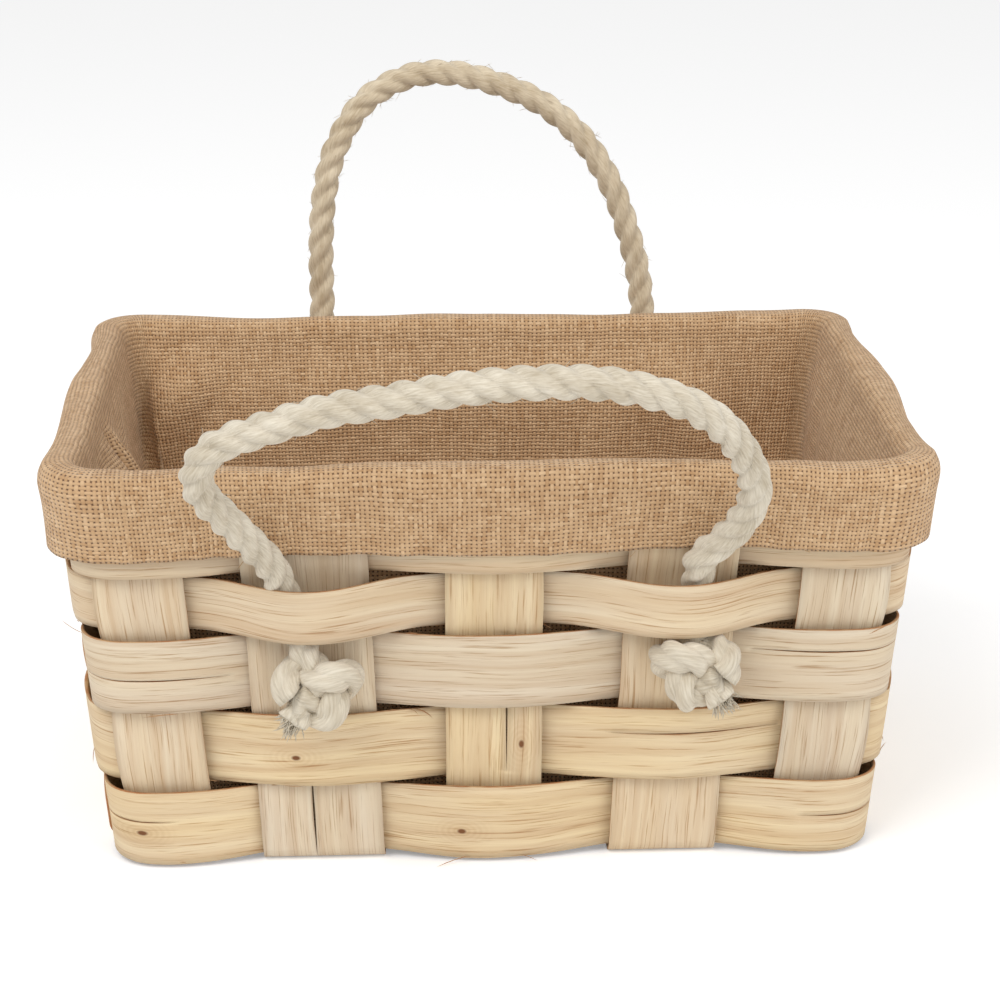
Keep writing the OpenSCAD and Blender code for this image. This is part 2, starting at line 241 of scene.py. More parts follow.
def settle(piece: bpy.types.Object, slot: str, node: str | None = None) -> None:
    """Let a piece ride on the basket, and take its node's place if it has one."""
    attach(piece, Body.BASKET.value)
    if node:
        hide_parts(node)


def thicken(piece: bpy.types.Object, thickness: float, rim_material: bool = False) -> None:
    """Give a sheet its thickness to both sides, with its own material on the cut edges if asked."""
    solid = piece.modifiers.new("Thickness", "SOLIDIFY")
    solid.thickness = thickness
    solid.offset = 0.0
    solid.use_even_offset = False
    solid.material_offset_rim = int(rim_material)


# ---- shader building


class NodeDesk:
    """Short calls that build one shader node tree."""

    noise_roughness = 0.55

    def __init__(self, tree: bpy.types.NodeTree) -> None:
        """Start on a tree, which keeps the nodes it has."""
        self.tree = tree

    def add(self, kind: str, values: dict[str, object] | None = None, **settings: object) -> bpy.types.Node:
        """Add a node.

        Args:
            kind: the node type's identifier.
            values: input names with a value or a socket to link.
            **settings: the node's own properties.

        Returns:
            The new node.
        """
        node = self.tree.nodes.new(kind)
        for key, value in settings.items():
            setattr(node, key, value)
        for key, value in (values or {}).items():
            self.feed(node.inputs[key], value)
        return node

    def feed(self, socket: Socket, value: object) -> None:
        """Link a socket to an input, or set the input's own value."""
        if isinstance(value, bpy.types.NodeSocket):
            self.tree.links.new(value, socket)
        else:
            socket.default_value = value

    def math(self, operation: str, *values: object) -> Socket:
        """Output of a Math node on up to three values or sockets."""
        node = self.add("ShaderNodeMath", operation=operation)
        for socket, value in zip(node.inputs, values):
            self.feed(socket, value)
        return node.outputs[0]

    def vector(self, x: object, y: object, z: object = 0.0) -> Socket:
        """Join three values or sockets into a vector."""
        return self.add("ShaderNodeCombineXYZ", {"X": x, "Y": y, "Z": z}).outputs[0]

    def split(self, vector: Socket) -> tuple[Socket, Socket]:
        """First two parts of a vector."""
        node = self.add("ShaderNodeSeparateXYZ", {"Vector": vector})
        return node.outputs["X"], node.outputs["Y"]

    def times(self, first: object, second: object) -> Socket:
        """Product of two values or sockets."""
        return self.math("MULTIPLY", first, second)

    def noise(self, vector: Socket, scale: float = 1.0, detail: float = 3.0) -> Socket:
        """Value of a Noise Texture at a vector."""
        return self.add("ShaderNodeTexNoise", {"Vector": vector, "Scale": scale, "Detail": detail,
                                               "Roughness": self.noise_roughness}).outputs[0]

    def drawn_noise(self, at: Sequence[Socket], scales: Sequence[float], part: object,
                    detail: float) -> Socket:
        """Noise over two coordinates.

        Args:
            at: the two coordinates.
            scales: how fast the noise changes with each of them.
            part: the part of the pattern that is used.
            detail: the noise's detail.

        Returns:
            The noise's value.
        """
        x, y = (self.times(socket, scale) for socket, scale in zip(at, scales))
        return self.noise(self.vector(x, y, part), detail=detail)

    def spread(self, value: Socket, low: float, high: float) -> Socket:
        """Stretch a value so that low becomes 0 and high becomes 1, held between."""
        limits = {"Value": value, "From Min": low, "From Max": high}
        return self.add("ShaderNodeMapRange", limits).outputs[0]

    def blend(self, share: object, first: object, second: object, way: str = "MIX") -> Socket:
        """Mix two colours by a share."""
        node = self.add("ShaderNodeMix", data_type="RGBA", blend_type=way)
        self.feed(node.inputs[0], share)
        self.feed(node.inputs[6], first)
        self.feed(node.inputs[7], second)
        return node.outputs[2]

    def emboss(self, shader: bpy.types.Node, height: Socket, strength: float, distance: float) -> None:
        """Give a shader the relief of a height, with its depth in metres."""
        relief = self.add("ShaderNodeBump", {"Height": height, "Strength": strength, "Distance": distance})
        self.feed(shader.inputs["Normal"], relief.outputs[0])

    def group(self, tree: bpy.types.NodeTree, **values: object) -> bpy.types.Node:
        """Place a node group with its own values."""
        node = self.add("ShaderNodeGroup", node_tree=tree)
        for key, value in values.items():
            self.feed(node.inputs[key], value)
        return node


def new_group(name: str, place: str, value: str,
              outputs: Sequence[str]) -> tuple[NodeDesk, Sequence[Socket], Socket, bpy.types.NodeInputs]:
    """Start a shader node group.

    Args:
        name: the group's name.
        place: name of its input for the texture coordinates.
        value: name of its input for one number.
        outputs: names of its float outputs.

    Returns:
        The desk, the two coordinates, the number, and the sockets that the outputs are fed by.
    """
    tree = bpy.data.node_groups.new(name, "ShaderNodeTree")
    tree.interface.new_socket(name=place, in_out="INPUT", socket_type="NodeSocketVector")
    tree.interface.new_socket(name=value, in_out="INPUT", socket_type="NodeSocketFloat")
    for key in outputs:
        tree.interface.new_socket(name=key, in_out="OUTPUT", socket_type="NodeSocketFloat")
    desk = NodeDesk(tree)
    entry = desk.add("NodeGroupInput")
    return desk, desk.split(entry.outputs[place]), entry.outputs[value], desk.add("NodeGroupOutput").inputs


def grain_group() -> bpy.types.NodeTree:
    """Grain of a shaved strip of wood: long streaks, fine fibres and broad patches."""
    desk, strip, seed, out = new_group("chip_grain", "Strip", "Seed", ("Streak", "Fibre", "Patch"))
    along, across = strip
    drift_scales, drift = (14.0, 30.0), 0.006
    bent = desk.math("MULTIPLY_ADD", desk.drawn_noise(strip, drift_scales, seed, 1.0), drift, across)

    def layer(per_along: float, per_across: float, detail: float, offset: float) -> Socket:
        """Noise drawn out along the strip, with its changes per metre along and across."""
        part = desk.math("ADD", seed, offset)
        return desk.drawn_noise((along, bent), (per_along, per_across), part, detail)

    streak = layer(per_along=7.0, per_across=260.0, detail=4.0, offset=0.0)
    patch = layer(per_along=9.0, per_across=55.0, detail=2.0, offset=9.1)
    desk.feed(out["Streak"], desk.spread(streak, 0.34, 0.68))
    desk.feed(out["Fibre"], layer(per_along=38.0, per_across=1500.0, detail=3.0, offset=5.3))
    desk.feed(out["Patch"], desk.spread(patch, 0.38, 0.66))
    return desk.tree


def weave_group() -> bpy.types.NodeTree:
    """Plain weave of uneven jute threads: height, thread tone, and a mask of the gaps between threads,
    where shade is painted.
    """
    desk, cloth, pitch, out = new_group("plain_weave", "Cloth", "Pitch", ("Height", "Tone", "Gap"))
    sway_scales, sway, sway_parts = (60.0, 60.0), 0.0016, (3.7, 8.2)
    slub_scales, slub_swing, thinnest = (3.17, 0.16), 0.9, 0.45
    dive_lowest = 0.25
    counts = []
    for value, part in zip(cloth, sway_parts):
        wander = desk.drawn_noise(cloth, sway_scales, part, 2.0)
        counts.append(desk.math("DIVIDE", desk.math("MULTIPLY_ADD", wander, sway, value), pitch))
    heights, tones = [], []
    for mine, other, offset in ((counts[0], counts[1], 0.0), (counts[1], counts[0], 1.0)):
        which = desk.math("FLOOR", mine)
        side = desk.math("SINE", desk.times(desk.math("FRACT", mine), math.pi))
        phase = desk.math("ADD", desk.math("ADD", other, which), offset)
        over = desk.math("MULTIPLY_ADD", desk.math("SINE", desk.times(phase, math.pi)), 0.5, 0.5)
        slub = desk.drawn_noise((which, other), slub_scales, offset, 2.0)
        girth = desk.math("MULTIPLY_ADD", slub, slub_swing, thinnest)
        heights.append(desk.times(desk.times(side, girth),
                                  desk.math("MULTIPLY_ADD", over, 1 - dive_lowest, dive_lowest)))
        tones.append(slub)
    top = desk.math("MAXIMUM", *heights)
    tone = desk.add("ShaderNodeMix", {"Factor": desk.math("GREATER_THAN", *heights)})
    desk.feed(tone.inputs[2], tones[1])
    desk.feed(tone.inputs[3], tones[0])
    desk.feed(out["Height"], top)
    desk.feed(out["Tone"], desk.spread(tone.outputs[0], 0.32, 0.70))
    # mask of the gaps between threads, which carries the painted shade seen through them
    desk.feed(out["Gap"], desk.spread(top, 0.42, 0.16))
    return desk.tree


def rope_group() -> bpy.types.NodeTree:
    """Soft cotton rope: fibres that run along it, broken up by short tufts."""
    desk, rope, seed, out = new_group("rope_fibre", "Rope", "Seed", ("Height", "Tone"))
    line_scales, tuft_scales = (220.0, 1500.0), (45.0, 120.0)
    lines = desk.drawn_noise(rope, line_scales, seed, 3.0)
    tufts = desk.drawn_noise(rope, tuft_scales, seed, 2.0)
    desk.feed(out["Height"], lines)
    both = desk.math("MULTIPLY_ADD", lines, 0.5, desk.times(tufts, 0.5))
    desk.feed(out["Tone"], desk.spread(both, 0.36, 0.64))
    return desk.tree


GRAIN = grain_group()
WEAVE = weave_group()
FIBRE = rope_group()
LITTLE_GLOSS = 0.25


def new_material(name: str, roughness: float) -> tuple[bpy.types.Material, NodeDesk, bpy.types.Node]:
    """Start a material with a Principled shader of one roughness and little gloss."""
    material = bpy.data.materials.new(name)
    material.use_nodes = True
    shader = material.node_tree.nodes["Principled BSDF"]
    shader.inputs["Roughness"].default_value = roughness
    shader.inputs["Specular IOR Level"].default_value = LITTLE_GLOSS
    return material, NodeDesk(material.node_tree), shader


@dataclass(frozen=True)
class ChipwoodFinish:
    """Shaved wood strip: pale, with darker streaks, grey patches and knots.

    Attributes:
        pale: its ground colour, which streak and patch vary and knot and edge interrupt.
        patch_share: how strong the patches are, as streak_share and fibre_share say for theirs.
        knot_long: half a knot's length along the strip, and knot_wide half its width across.
        halo: where the dark ground round a knot begins and is full, in knot radii.
        ring_rate: how close together the rings round a knot are.
        ring_depth: how much the rings vary the halo, whose mean strength is halo_depth.
        knot_fade: where the knot's own colour begins and is full, in knot radii.
    """

    pale: Colour = srgb(228, 208, 175)
    streak: Colour = srgb(193, 158, 119)
    patch: Colour = srgb(224, 210, 189)
    patch_share: float = 0.5
    knot: Colour = srgb(120, 78, 48)
    edge: Colour = srgb(176, 122, 80)
    streak_share: float = 0.55
    fibre_share: float = 0.75
    knot_long: float = 0.0021
    knot_wide: float = 0.0013
    halo: tuple[float, float] = (7.0, 0.8)
    ring_rate: float = 5.5
    ring_depth: float = 0.08
    halo_depth: float = 0.22
    knot_fade: tuple[float, float] = (1.05, 0.55)

    def surface(self, name: str, seed: float, knots: Sequence[tuple[float, float]]) -> bpy.types.Material:
        """Material of a strip's faces.

        Args:
            name: the material's name.
            seed: where in the grain pattern this strip starts.
            knots: places of its knots along and across the strip, in metres.

        Returns:
            The material.
        """
        material, desk, shader = new_material(name, roughness=0.62)
        strip = desk.add("ShaderNodeUVMap").outputs[0]
        grain = desk.group(GRAIN, Strip=strip, Seed=seed).outputs
        colour = desk.blend(desk.times(grain["Patch"], self.patch_share), self.pale, self.patch)
        colour = desk.blend(desk.times(grain["Streak"], self.streak_share), colour, self.streak)
        fine = desk.times(desk.spread(grain["Fibre"], 0.44, 0.30), self.fibre_share)
        colour = desk.blend(fine, colour, self.streak, "MULTIPLY")
        along, across = desk.split(strip)
        for u, v in knots:
            x = desk.math("DIVIDE", desk.math("SUBTRACT", along, u), self.knot_long)
            y = desk.math("DIVIDE", desk.math("SUBTRACT", across, v), self.knot_wide)
            away = desk.math("SQRT", desk.math("ADD", desk.times(x, x), desk.times(y, y)))
            waves = desk.math("SINE", desk.times(away, self.ring_rate))
            rings = desk.math("MULTIPLY_ADD", waves, self.ring_depth, self.halo_depth)
            ringed = desk.times(desk.spread(away, *self.halo), rings)
            colour = desk.blend(ringed, colour, self.streak, "MULTIPLY")
            colour = desk.blend(desk.spread(away, *self.knot_fade), colour, self.knot)
        desk.feed(shader.inputs["Base Color"], colour)
        desk.emboss(shader, grain["Fibre"], strength=0.45, distance=0.0005)
        return material

    def cut_edge(self) -> bpy.types.Material:
        """Material of the darker cut edges."""
        name = "chipwood_edge"
        if name in bpy.data.materials:
            return bpy.data.materials[name]
        material, desk, shader = new_material(name, roughness=0.75)
        at = desk.add("ShaderNodeTexCoord").outputs["Object"]
        mottle = desk.spread(desk.noise(at, scale=160.0), 0.35, 0.65)
        desk.feed(shader.inputs["Base Color"], desk.blend(mottle, self.edge, self.streak))
        return material


@dataclass(frozen=True)
class HessianFinish:
    """Open plain weave of jute with lighter and darker threads, and painted shade in the gaps between them.
    """

    light: Colour = srgb(222, 188, 148)
    dark: Colour = srgb(186, 147, 106)
    # colour of the painted shade in the gaps between threads
    gap_shade: Colour = srgb(84, 54, 36)
    pitch: float = 0.0017
    gap_shade_share: float = 0.95
    sheen: float = 0.15

    def surface(self) -> bpy.types.Material:
        """Material of the cloth, on texture coordinates in metres."""
        material, desk, shader = new_material("hessian_cloth", roughness=0.9)
        cloth = desk.add("ShaderNodeUVMap").outputs[0]
        weave = desk.group(WEAVE, Cloth=cloth, Pitch=self.pitch).outputs
        colour = desk.blend(weave["Tone"], self.dark, self.light)
        # painted shade: the gaps between threads are darkened towards the dark gap colour
        colour = desk.blend(desk.times(weave["Gap"], self.gap_shade_share), colour, self.gap_shade)
        desk.feed(shader.inputs["Base Color"], colour)
        desk.emboss(shader, weave["Height"], strength=0.8, distance=0.0009)
        shader.inputs["Sheen Weight"].default_value = self.sheen
        return material


@dataclass(frozen=True)
class RopeFinish:
    """Soft spun rope, fuzzy and matt."""

    name: str
    light: Colour
    dark: Colour
    seed: float = 0.0
    sheen: float = 0.25

    def surface(self) -> bpy.types.Material:
        """Material of the rope's strands, on texture coordinates in metres."""
        material, desk, shader = new_material(self.name, roughness=0.92)
        rope = desk.add("ShaderNodeUVMap").outputs[0]
        fibre = desk.group(FIBRE, Rope=rope, Seed=self.seed).outputs
        desk.feed(shader.inputs["Base Color"], desk.blend(fibre["Tone"], self.dark, self.light))
        desk.emboss(shader, fibre["Height"], strength=0.6, distance=0.0008)
        shader.inputs["Sheen Weight"].default_value = self.sheen
        return material


# ---- the basket's own measures


@dataclass(frozen=True)
class BasketFrame:
    """The walls' middle surface and the places of strips and rows on it, in metres.

    Attributes:
        base_w: width between the walls' middles at the ground, as base_d is the depth.
        wall_flare: how far the walls lean out for each metre up.
        bend_r: radius of the upright strips' bend under the base.
        strip_swing: how far the upright strips swing to each side in the weave.
        row_foot: height of the lowest row's lower edge.
        tip_over: how far the strips' tips stand above the top row.
        long_at: places of the long strips, as shares of the front wall's straight half.
        cross_at: places of the cross strips, as shares of a side wall's straight half.
        rope_row: index of the row that the rope ends pass behind.
        rope_strips: crossings at which they pass, counted round from the front left.
        pocket_half: how many crossings to each side the row stands out for them.
        row_swing: how far the rows swing to each side in the weave.
    """

    base_w: float = 0.310
    base_d: float = 0.200
    wall_flare: float = 0.08
    corner_r: float = 0.018
    bend_r: float = 0.006
    strip_t: float = 0.0012
    strip_gap: float = 0.0003
    strip_swing: float = 0.0016
    row_heights: tuple[float, ...] = (0.032, 0.032, 0.032, 0.023, 0.030)
    row_gap: float = 0.0016
    row_foot: float = 0.0025
    tip_over: float = 0.0055
    long_at: tuple[float, ...] = (-0.94, -0.5, 0.0, 0.5, 0.94)
    cross_at: tuple[float, ...] = (-0.72, 0.0, 0.72)
    long_widths: tuple[float, ...] = (0.036, 0.050, 0.039, 0.044, 0.036)
    cross_width: float = 0.036
    rope_row: int = 3
    rope_strips: tuple[int, ...] = (1, 3, 9, 11)
    pocket_half: float = 0.65
    row_swing: float = 0.005

    @property
    def layer(self) -> float:
        """Thickness of a strip with its clearance."""
        return self.strip_t + self.strip_gap

    @property
    def top_row(self) -> int:
        """Index of the highest woven row."""
        return len(self.row_heights) - 1

    @property
    def crossings(self) -> int:
        """How many strip ends stand round the walls."""
        return 2 * (len(self.long_at) + len(self.cross_at))

    def row_low(self, row: int) -> float:
        """Lower edge of a woven row."""
        return self.row_foot + sum(self.row_heights[:row]) + row * self.row_gap

    def row_high(self, row: int) -> float:
        """Upper edge of a woven row."""
        return self.row_low(row) + self.row_heights[row]

    def row_mid(self, row: int) -> float:
        """Middle height of a woven row."""
        return (self.row_low(row) + self.row_high(row)) / 2

    @property
    def tip_z(self) -> float:
        """Height of the strips' tips."""
        return self.row_high(self.top_row) + self.tip_over

    def half(self, side_w: bool, z: float) -> float:
        """Distance from the middle to the left and right walls, or to the front and back ones."""
        return (self.base_w if side_w else self.base_d) / 2 + self.wall_flare * z

    def straight(self, side_w: bool, z: float) -> float:
        """Straight half of the front wall, or of a side wall, at a height."""
        return self.half(side_w, z) - self.corner_r

    def quarter(self, z: float) -> float:
        """A quarter of the way round the walls."""
        return self.straight(True, z) + math.pi * self.corner_r / 2 + self.straight(False, z)

    def wall_point(self, d: float, off: float, along: float, across: float) -> tuple[float, float]:
        """Point beside the middle of one wall, on round its corner.

        Args:
            d: distance along the wall from its middle.
            off: distance outward.
            along: straight half of this wall.
            across: straight half of the walls beside it.

        Returns:
            Its x and y, for a wall that faces towards -y.
        """
        far = abs(d)
        turn = min(math.pi / 2, max(0.0, (far - along) / self.corner_r))
        past = max(0.0, far - along - math.pi * self.corner_r / 2)
        x = min(far, along) + (self.corner_r + off) * math.sin(turn)
        return math.copysign(x, d), past - across - (self.corner_r + off) * math.cos(turn)

    def loop_point(self, s: float, z: float, off: float) -> Vector:
        """Point round the whole loop, s from the middle of the front wall."""
        quarter = self.quarter(z)
        wall = math.floor(s / quarter)
        front = wall % 2 == 0
        along, across = self.straight(front, z), self.straight(not front, z)
        x, y = self.wall_point(s - wall * quarter, off, along, across)
        cos, sin = ((1, 0), (0, 1), (-1, 0), (0, -1))[wall % 4]
        return Vector((x * cos - y * sin, x * sin + y * cos, z))

    def strip_place(self, crossing: int, z: float) -> float:
        """Place round the loop of a strip's middle."""
        lap, i = divmod(crossing, self.crossings)
        for wall, shares in enumerate((self.long_at, self.cross_at) * 2):
            if i < len(shares):
                return (4 * lap + wall) * self.quarter(z) + shares[i] * self.straight(wall % 2 == 0, z)
            i -= len(shares)
        raise ValueError(crossing)

    def place(self, phi: float, z: float) -> float:
        """Place round the loop of a crossing count, whole numbers being strip middles."""
        k = math.floor(phi)
        return mix(self.strip_place(k, z), self.strip_place(k + 1, z), phi - k)

    def weave_point(self, phi: float, z: float, off: float) -> Vector:
        """Point at a crossing count and a height, a distance outward."""
        return self.loop_point(self.place(phi, z), z, off)

    def strip_off(self, crossing: int, z: float) -> float:
        """Depth of an upright strip in the weave at a height."""
        middles = [self.row_mid(r) for r in range(len(self.row_heights))]
        r = min(len(middles) - 2, max(0, sum(m <= z for m in middles) - 1))
        count = min(len(middles) - 1.0, max(0.0, r + (z - middles[r]) / (middles[r + 1] - middles[r])))
        return -self.strip_swing * math.cos(math.pi * (count + crossing))


BASKET = BasketFrame()


@dataclass(frozen=True)
class Slit:
    """A split along the grain: from start to end along, at a place across, and its widest opening."""

    start: float
    end: float
    at: float
    width: float = 0.0006


class Line(NamedTuple):
    """A line along a strip: its share of the width, and the slit that it borders with its side.

    The side is -1 for the line below the slit and 1 for the one above.
    """

    share: float
    slit: Slit | None = None
    side: int = 0


class Crossing(NamedTuple):
    """A strip crossed under the base: distance from the middle, the side to pass it on, and its width."""

    at: float
    side: int
    width: float


class Station(NamedTuple):
    """A place along an upright strip: height, distance in from the wall, share under the base, and rise."""

    z: float
    inset: float = 0.0
    under: float = 0.0
    lift: float = 0.0


@dataclass(frozen=True)
class Band:
    """A strip woven round the walls, lower edge before upper edge in each pair.

    Attributes:
        name: the piece's name.
        node: the CAD node that it replaces.
        slot: its material slot.
        low: height of its lower edge, as high is of its upper one.
        parity: even if it passes outside the strip at crossing 0, odd if inside.
        lap: the crossing at which its ends lap.
        middles: its mean depth at both edges.
        swings: how far both edges swing to each side.
        low_wave: how far its lower edge rises and falls.
        bulge: how far the ropes behind it push it out.
        slits: its splits, by distance from the front's middle.
        knots: places of its knots, along and across.
        finish: its wood.
    """

    name: str
    node: str
    slot: str
    low: float
    high: float
    parity: int
    lap: int
    middles: tuple[float, float] = (0.0, 0.0)
    swings: tuple[float, float] = (BASKET.row_swing, BASKET.row_swing)
    low_wave: float = 0.0
    bulge: float = 0.0
    slits: tuple[Slit, ...] = ()
    knots: tuple[tuple[float, float], ...] = ()
    finish: ChipwoodFinish = ChipwoodFinish()


@dataclass
class WovenBody:
    """The five long strips, three cross strips and six bands of the woven body.

    Attributes:
        lap_reach: how many crossings a band runs past its lap to each side, easing over lap_fade.
        lap_share: how far each end moves aside where they lap, as a share of a layer.
        edge_waver: how uneven the strips' edges are, as buckle says for their faces.
        slit_line: half the gap between the two lines at a slit, as a share of the width.
        slit_clear: how near to a slit a plain line may lie.
        uv_ends: shares of a band's length between which its grain follows the wall.
        flat_over: how far a strip lies flat to each side of one that it crosses.
        flat_first: share of the first stretch under the base that stays level.
        long_grain: where the long strips' grain starts and its step from one to the next.
    """

    cells_across: int = 8
    cells_per_crossing: int = 28
    wall_cells: int = 110
    bend_cells: int = 8
    base_cells: int = 12
    lap_reach: float = 0.6
    lap_fade: float = 0.5
    lap_share: float = 0.55
    edge_waver: float = 0.00035
    edge_rate: float = 40.0
    buckle: float = 0.00012
    buckle_rate: float = 60.0
    slit_line: float = 0.0006
    slit_clear: float = 0.02
    slit_shut: float = 0.00001
    uv_ends: tuple[float, float] = (0.02, 0.98)
    rope_bulge: float = 0.011
    flat_over: float = 0.001
    flat_first: float = 0.3
    rim_swing: float = 0.0026
    rim_band_h: float = 0.016
    rim_drop: float = 0.0035
    long_grain: tuple[float, float] = (11.0, 3.7)
    cross_grain: tuple[float, float] = (41.0, 4.3)
    band_grain: tuple[float, float] = (71.0, 5.1)
    straw: ChipwoodFinish = ChipwoodFinish()
    yellow: ChipwoodFinish = ChipwoodFinish(pale=srgb(231, 209, 168), patch_share=0.35)
    grey: ChipwoodFinish = ChipwoodFinish(pale=srgb(224, 208, 181), streak=srgb(190, 160, 126),
                                          patch_share=0.8)

    def bands(self) -> list[Band]:
        """The woven rows from the lowest up, then the band inside the rim."""
        low = [BASKET.row_low(r) for r in range(len(BASKET.row_heights))]
        high = [BASKET.row_high(r) for r in range(len(BASKET.row_heights))]
        rim_high = BASKET.tip_z - self.rim_drop
        rim_low = rim_high - self.rim_band_h
        row = "woven_chipwood"
        return [
            Band("row_1_wood", "weaver_row_1", row, low[0], high[0], 0, 14, low_wave=0.0012,
                 finish=self.yellow, slits=(Slit(-0.162, -0.127, 0.59), Slit(0.124, 0.160, 0.51)),
                 knots=((-0.013, -0.004), (-0.141, -0.002))),
            Band("row_2_wood", "weaver_row_2", row, low[1], high[1], 1, 7, finish=self.yellow,
                 slits=(Slit(0.045, 0.115, 0.65),), knots=((-0.079, -0.003),)),
            Band("row_3_wood", "weaver_row_3", row, low[2], high[2], 2, 6, finish=self.grey,
                 slits=(Slit(-0.164, -0.104, 0.46), Slit(0.100, 0.165, 0.70, 0.0007))),
            Band("row_4_wood", "weaver_row_4", row, low[3], high[3], 3, 13, bulge=self.rope_bulge,
                 finish=self.straw),
            Band("row_5_wood", "weaver_row_5", row, low[4], high[4], 4, 14,
                 swings=(BASKET.row_swing, self.rim_swing), finish=self.straw),
            Band("rim_band_wood", "rim_band", "rim_chipwood", rim_low, rim_high, 0, 10,
                 middles=(self.rim_off(rim_low), self.rim_off(rim_high)), swings=(0.0, 0.0),
                 finish=self.straw)]

    def rim_off(self, z: float) -> float:
        """Depth of the rim band, against the top row's inner face."""
        top = BASKET.top_row
        rise = (BASKET.row_swing - self.rim_swing) * (BASKET.row_high(top) - z) / BASKET.row_heights[top]
        return -(self.rim_swing + max(0.0, rise) + BASKET.strip_t + BASKET.strip_gap)

    def lap_shift(self, phi: float, lap: int) -> float:
        """Half a thickness inward at a band's first end and outward at its last, where they lap."""
        from_first = phi - lap - self.lap_reach
        to_last = lap + BASKET.crossings - self.lap_reach - phi
        inward, outward = ease(1 - from_first / self.lap_fade), ease(1 - to_last / self.lap_fade)
        return self.lap_share * BASKET.layer * (outward - inward)

    def pocket(self, phi: float) -> float:
        """How far the rope row is pushed out by the ropes behind it, as a share."""
        laps = (-BASKET.crossings, 0, BASKET.crossings)
        return max(bump((phi - k - lap) / BASKET.pocket_half) for k in BASKET.rope_strips for lap in laps)

    def lines_across(self, slits: Sequence[Slit]) -> list[Line]:
        """Lines that divide a strip's width, with two at each slit."""
        lines = [Line(i / self.cells_across) for i in range(self.cells_across + 1)]
        for slit in slits:
            lines = [line for line in lines if abs(line.share - slit.at) > self.slit_clear or line.slit]
            lines += [Line(slit.at + side * self.slit_line, slit, side) for side in (-1, 1)]
        return sorted(lines, key=lambda line: line.share)

    def opening(self, slit: Slit, where: float) -> float:
        """Half the slit's opening at a place along the strip."""
        share = (where - slit.start) / (slit.end - slit.start)
        return slit.width / 2 * math.sin(math.pi * share) if 0 < share < 1 else self.slit_shut

    @staticmethod
    def kept(line: Line, where: float) -> bool:
        """False for a cell inside a slit, from the line below it and its place along the strip."""
        return not (line.slit and line.side < 0 and line.slit.start < where < line.slit.end)

    def waver(self, share: float, where: float, seed: float) -> float:
        """How far a line of the strip is drawn in by the uneven edge beside it."""
        edge = (2 * share - 1) ** 5
        return self.edge_waver * edge * (1 + ripple(where * self.edge_rate, seed, edge))

    def weave_band(self, band: Band, seed: float) -> None:
        """Make one band.

        Args:
            band: its place in the weave.
            seed: its place in the grain pattern.
        """
        lines = self.lines_across(band.slits)
        count = len(lines) - 1
        first = band.lap - self.lap_reach
        span = BASKET.crossings + 2 * self.lap_reach
        mid = (band.low + band.high) / 2
        loop = 4 * BASKET.quarter(mid)

        def front_place(u: float) -> float:
            """Place round the loop, from the front's middle to either side, at a share of the length."""
            return (BASKET.place(first + span * u, mid) + loop / 2) % loop - loop / 2

        def place(u: float, v: float) -> Vector:
            """Point of the band at a share of its length and a line across it."""
            phi, s = first + span * u, front_place(u)
            share, slit, side = lines[round(v * count)]
            wave = math.cos(math.pi * (phi + band.parity))
            low = band.low - band.low_wave * wave
            z = mix(low, band.high, share)
            if slit:
                z = mix(low, band.high, slit.at) + side * self.opening(slit, s)
            z -= self.waver(share, s, seed)
            swing = mix(*band.swings, share) * wave
            shift = self.lap_shift(phi, band.lap) + band.bulge * self.pocket(phi)
            buckle = self.buckle * ripple(s * self.buckle_rate, z * self.buckle_rate, seed)
            return BASKET.weave_point(phi, z, mix(*band.middles, share) + shift + swing + buckle)

        def unwrap(u: float, v: float) -> tuple[float, float]:
            """Texture place: round the loop, but the plain length at the lapped ends."""
            along = front_place(u) if self.uv_ends[0] < u < self.uv_ends[1] else span * u
            return along, (band.high - band.low) * (lines[round(v * count)].share - 0.5)

        bm = bmesh.new()
        mapped_grid(bm, round(span * self.cells_per_crossing), count, place, unwrap,
                    lambda u, v: self.kept(lines[int(v * count)], front_place(u)))
        self.dress(finished(bm, band.name), band.finish, seed, band.knots, band.slot, band.node)

    def dress(self, piece: bpy.types.Object, finish: ChipwoodFinish, seed: float,
              knots: Sequence[tuple[float, float]], slot: str, node: str) -> None:
        """Thicken a strip, finish its faces and edges, and put it in its node's place."""
        piece.data.materials.append(finish.surface(f"{piece.name}_grain", seed, knots))
        piece.data.materials.append(finish.cut_edge())
        thicken(piece, BASKET.strip_t, rim_material=True)
        settle(piece, slot, node)

    def stations(self, side_w: bool, crossed: Sequence[Crossing]) -> list[Station]:
        """Places along half a strip, from its tip to the middle of the base.

        Args:
            side_w: True for a strip of the front and back walls.
            crossed: the strips that it crosses under the base, from the outermost in.

        Returns:
            The stations.
        """
        level = BASKET.strip_t + BASKET.strip_gap / 2
        levels = [level + BASKET.layer / 2 * strip.side for strip in crossed]
        low = levels[0]
        foot = BASKET.half(not side_w, low) - BASKET.bend_r
        stops = [foot, *(strip.at for strip in crossed)]
        heights = [low, *levels]
        made = [Station(mix(BASKET.tip_z, low + BASKET.bend_r, i / self.wall_cells))
                for i in range(self.wall_cells)]
        for i in range(self.bend_cells + 1):
            turn = math.pi / 2 * i / self.bend_cells
            made.append(Station(low + BASKET.bend_r * (1 - math.sin(turn)),
                                BASKET.bend_r * (1 - math.cos(turn))))
        for i, strip in enumerate(crossed):
            step = stops[i + 1] - stops[i]
            begin = -(crossed[i - 1].width / 2 + self.flat_over) / step if i else self.flat_first
            end = 1 + (strip.width / 2 + self.flat_over) / step
            for cell in range(1, self.base_cells + 1):
                t = cell / self.base_cells
                rise = mix(heights[i], heights[i + 1], ease((t - begin) / (end - begin)))
                made.append(Station(low, BASKET.bend_r, 1 - (stops[i] + step * t) / foot, rise - low))
        made.append(Station(low, BASKET.bend_r, 1.0, levels[-1] - low))
        return made

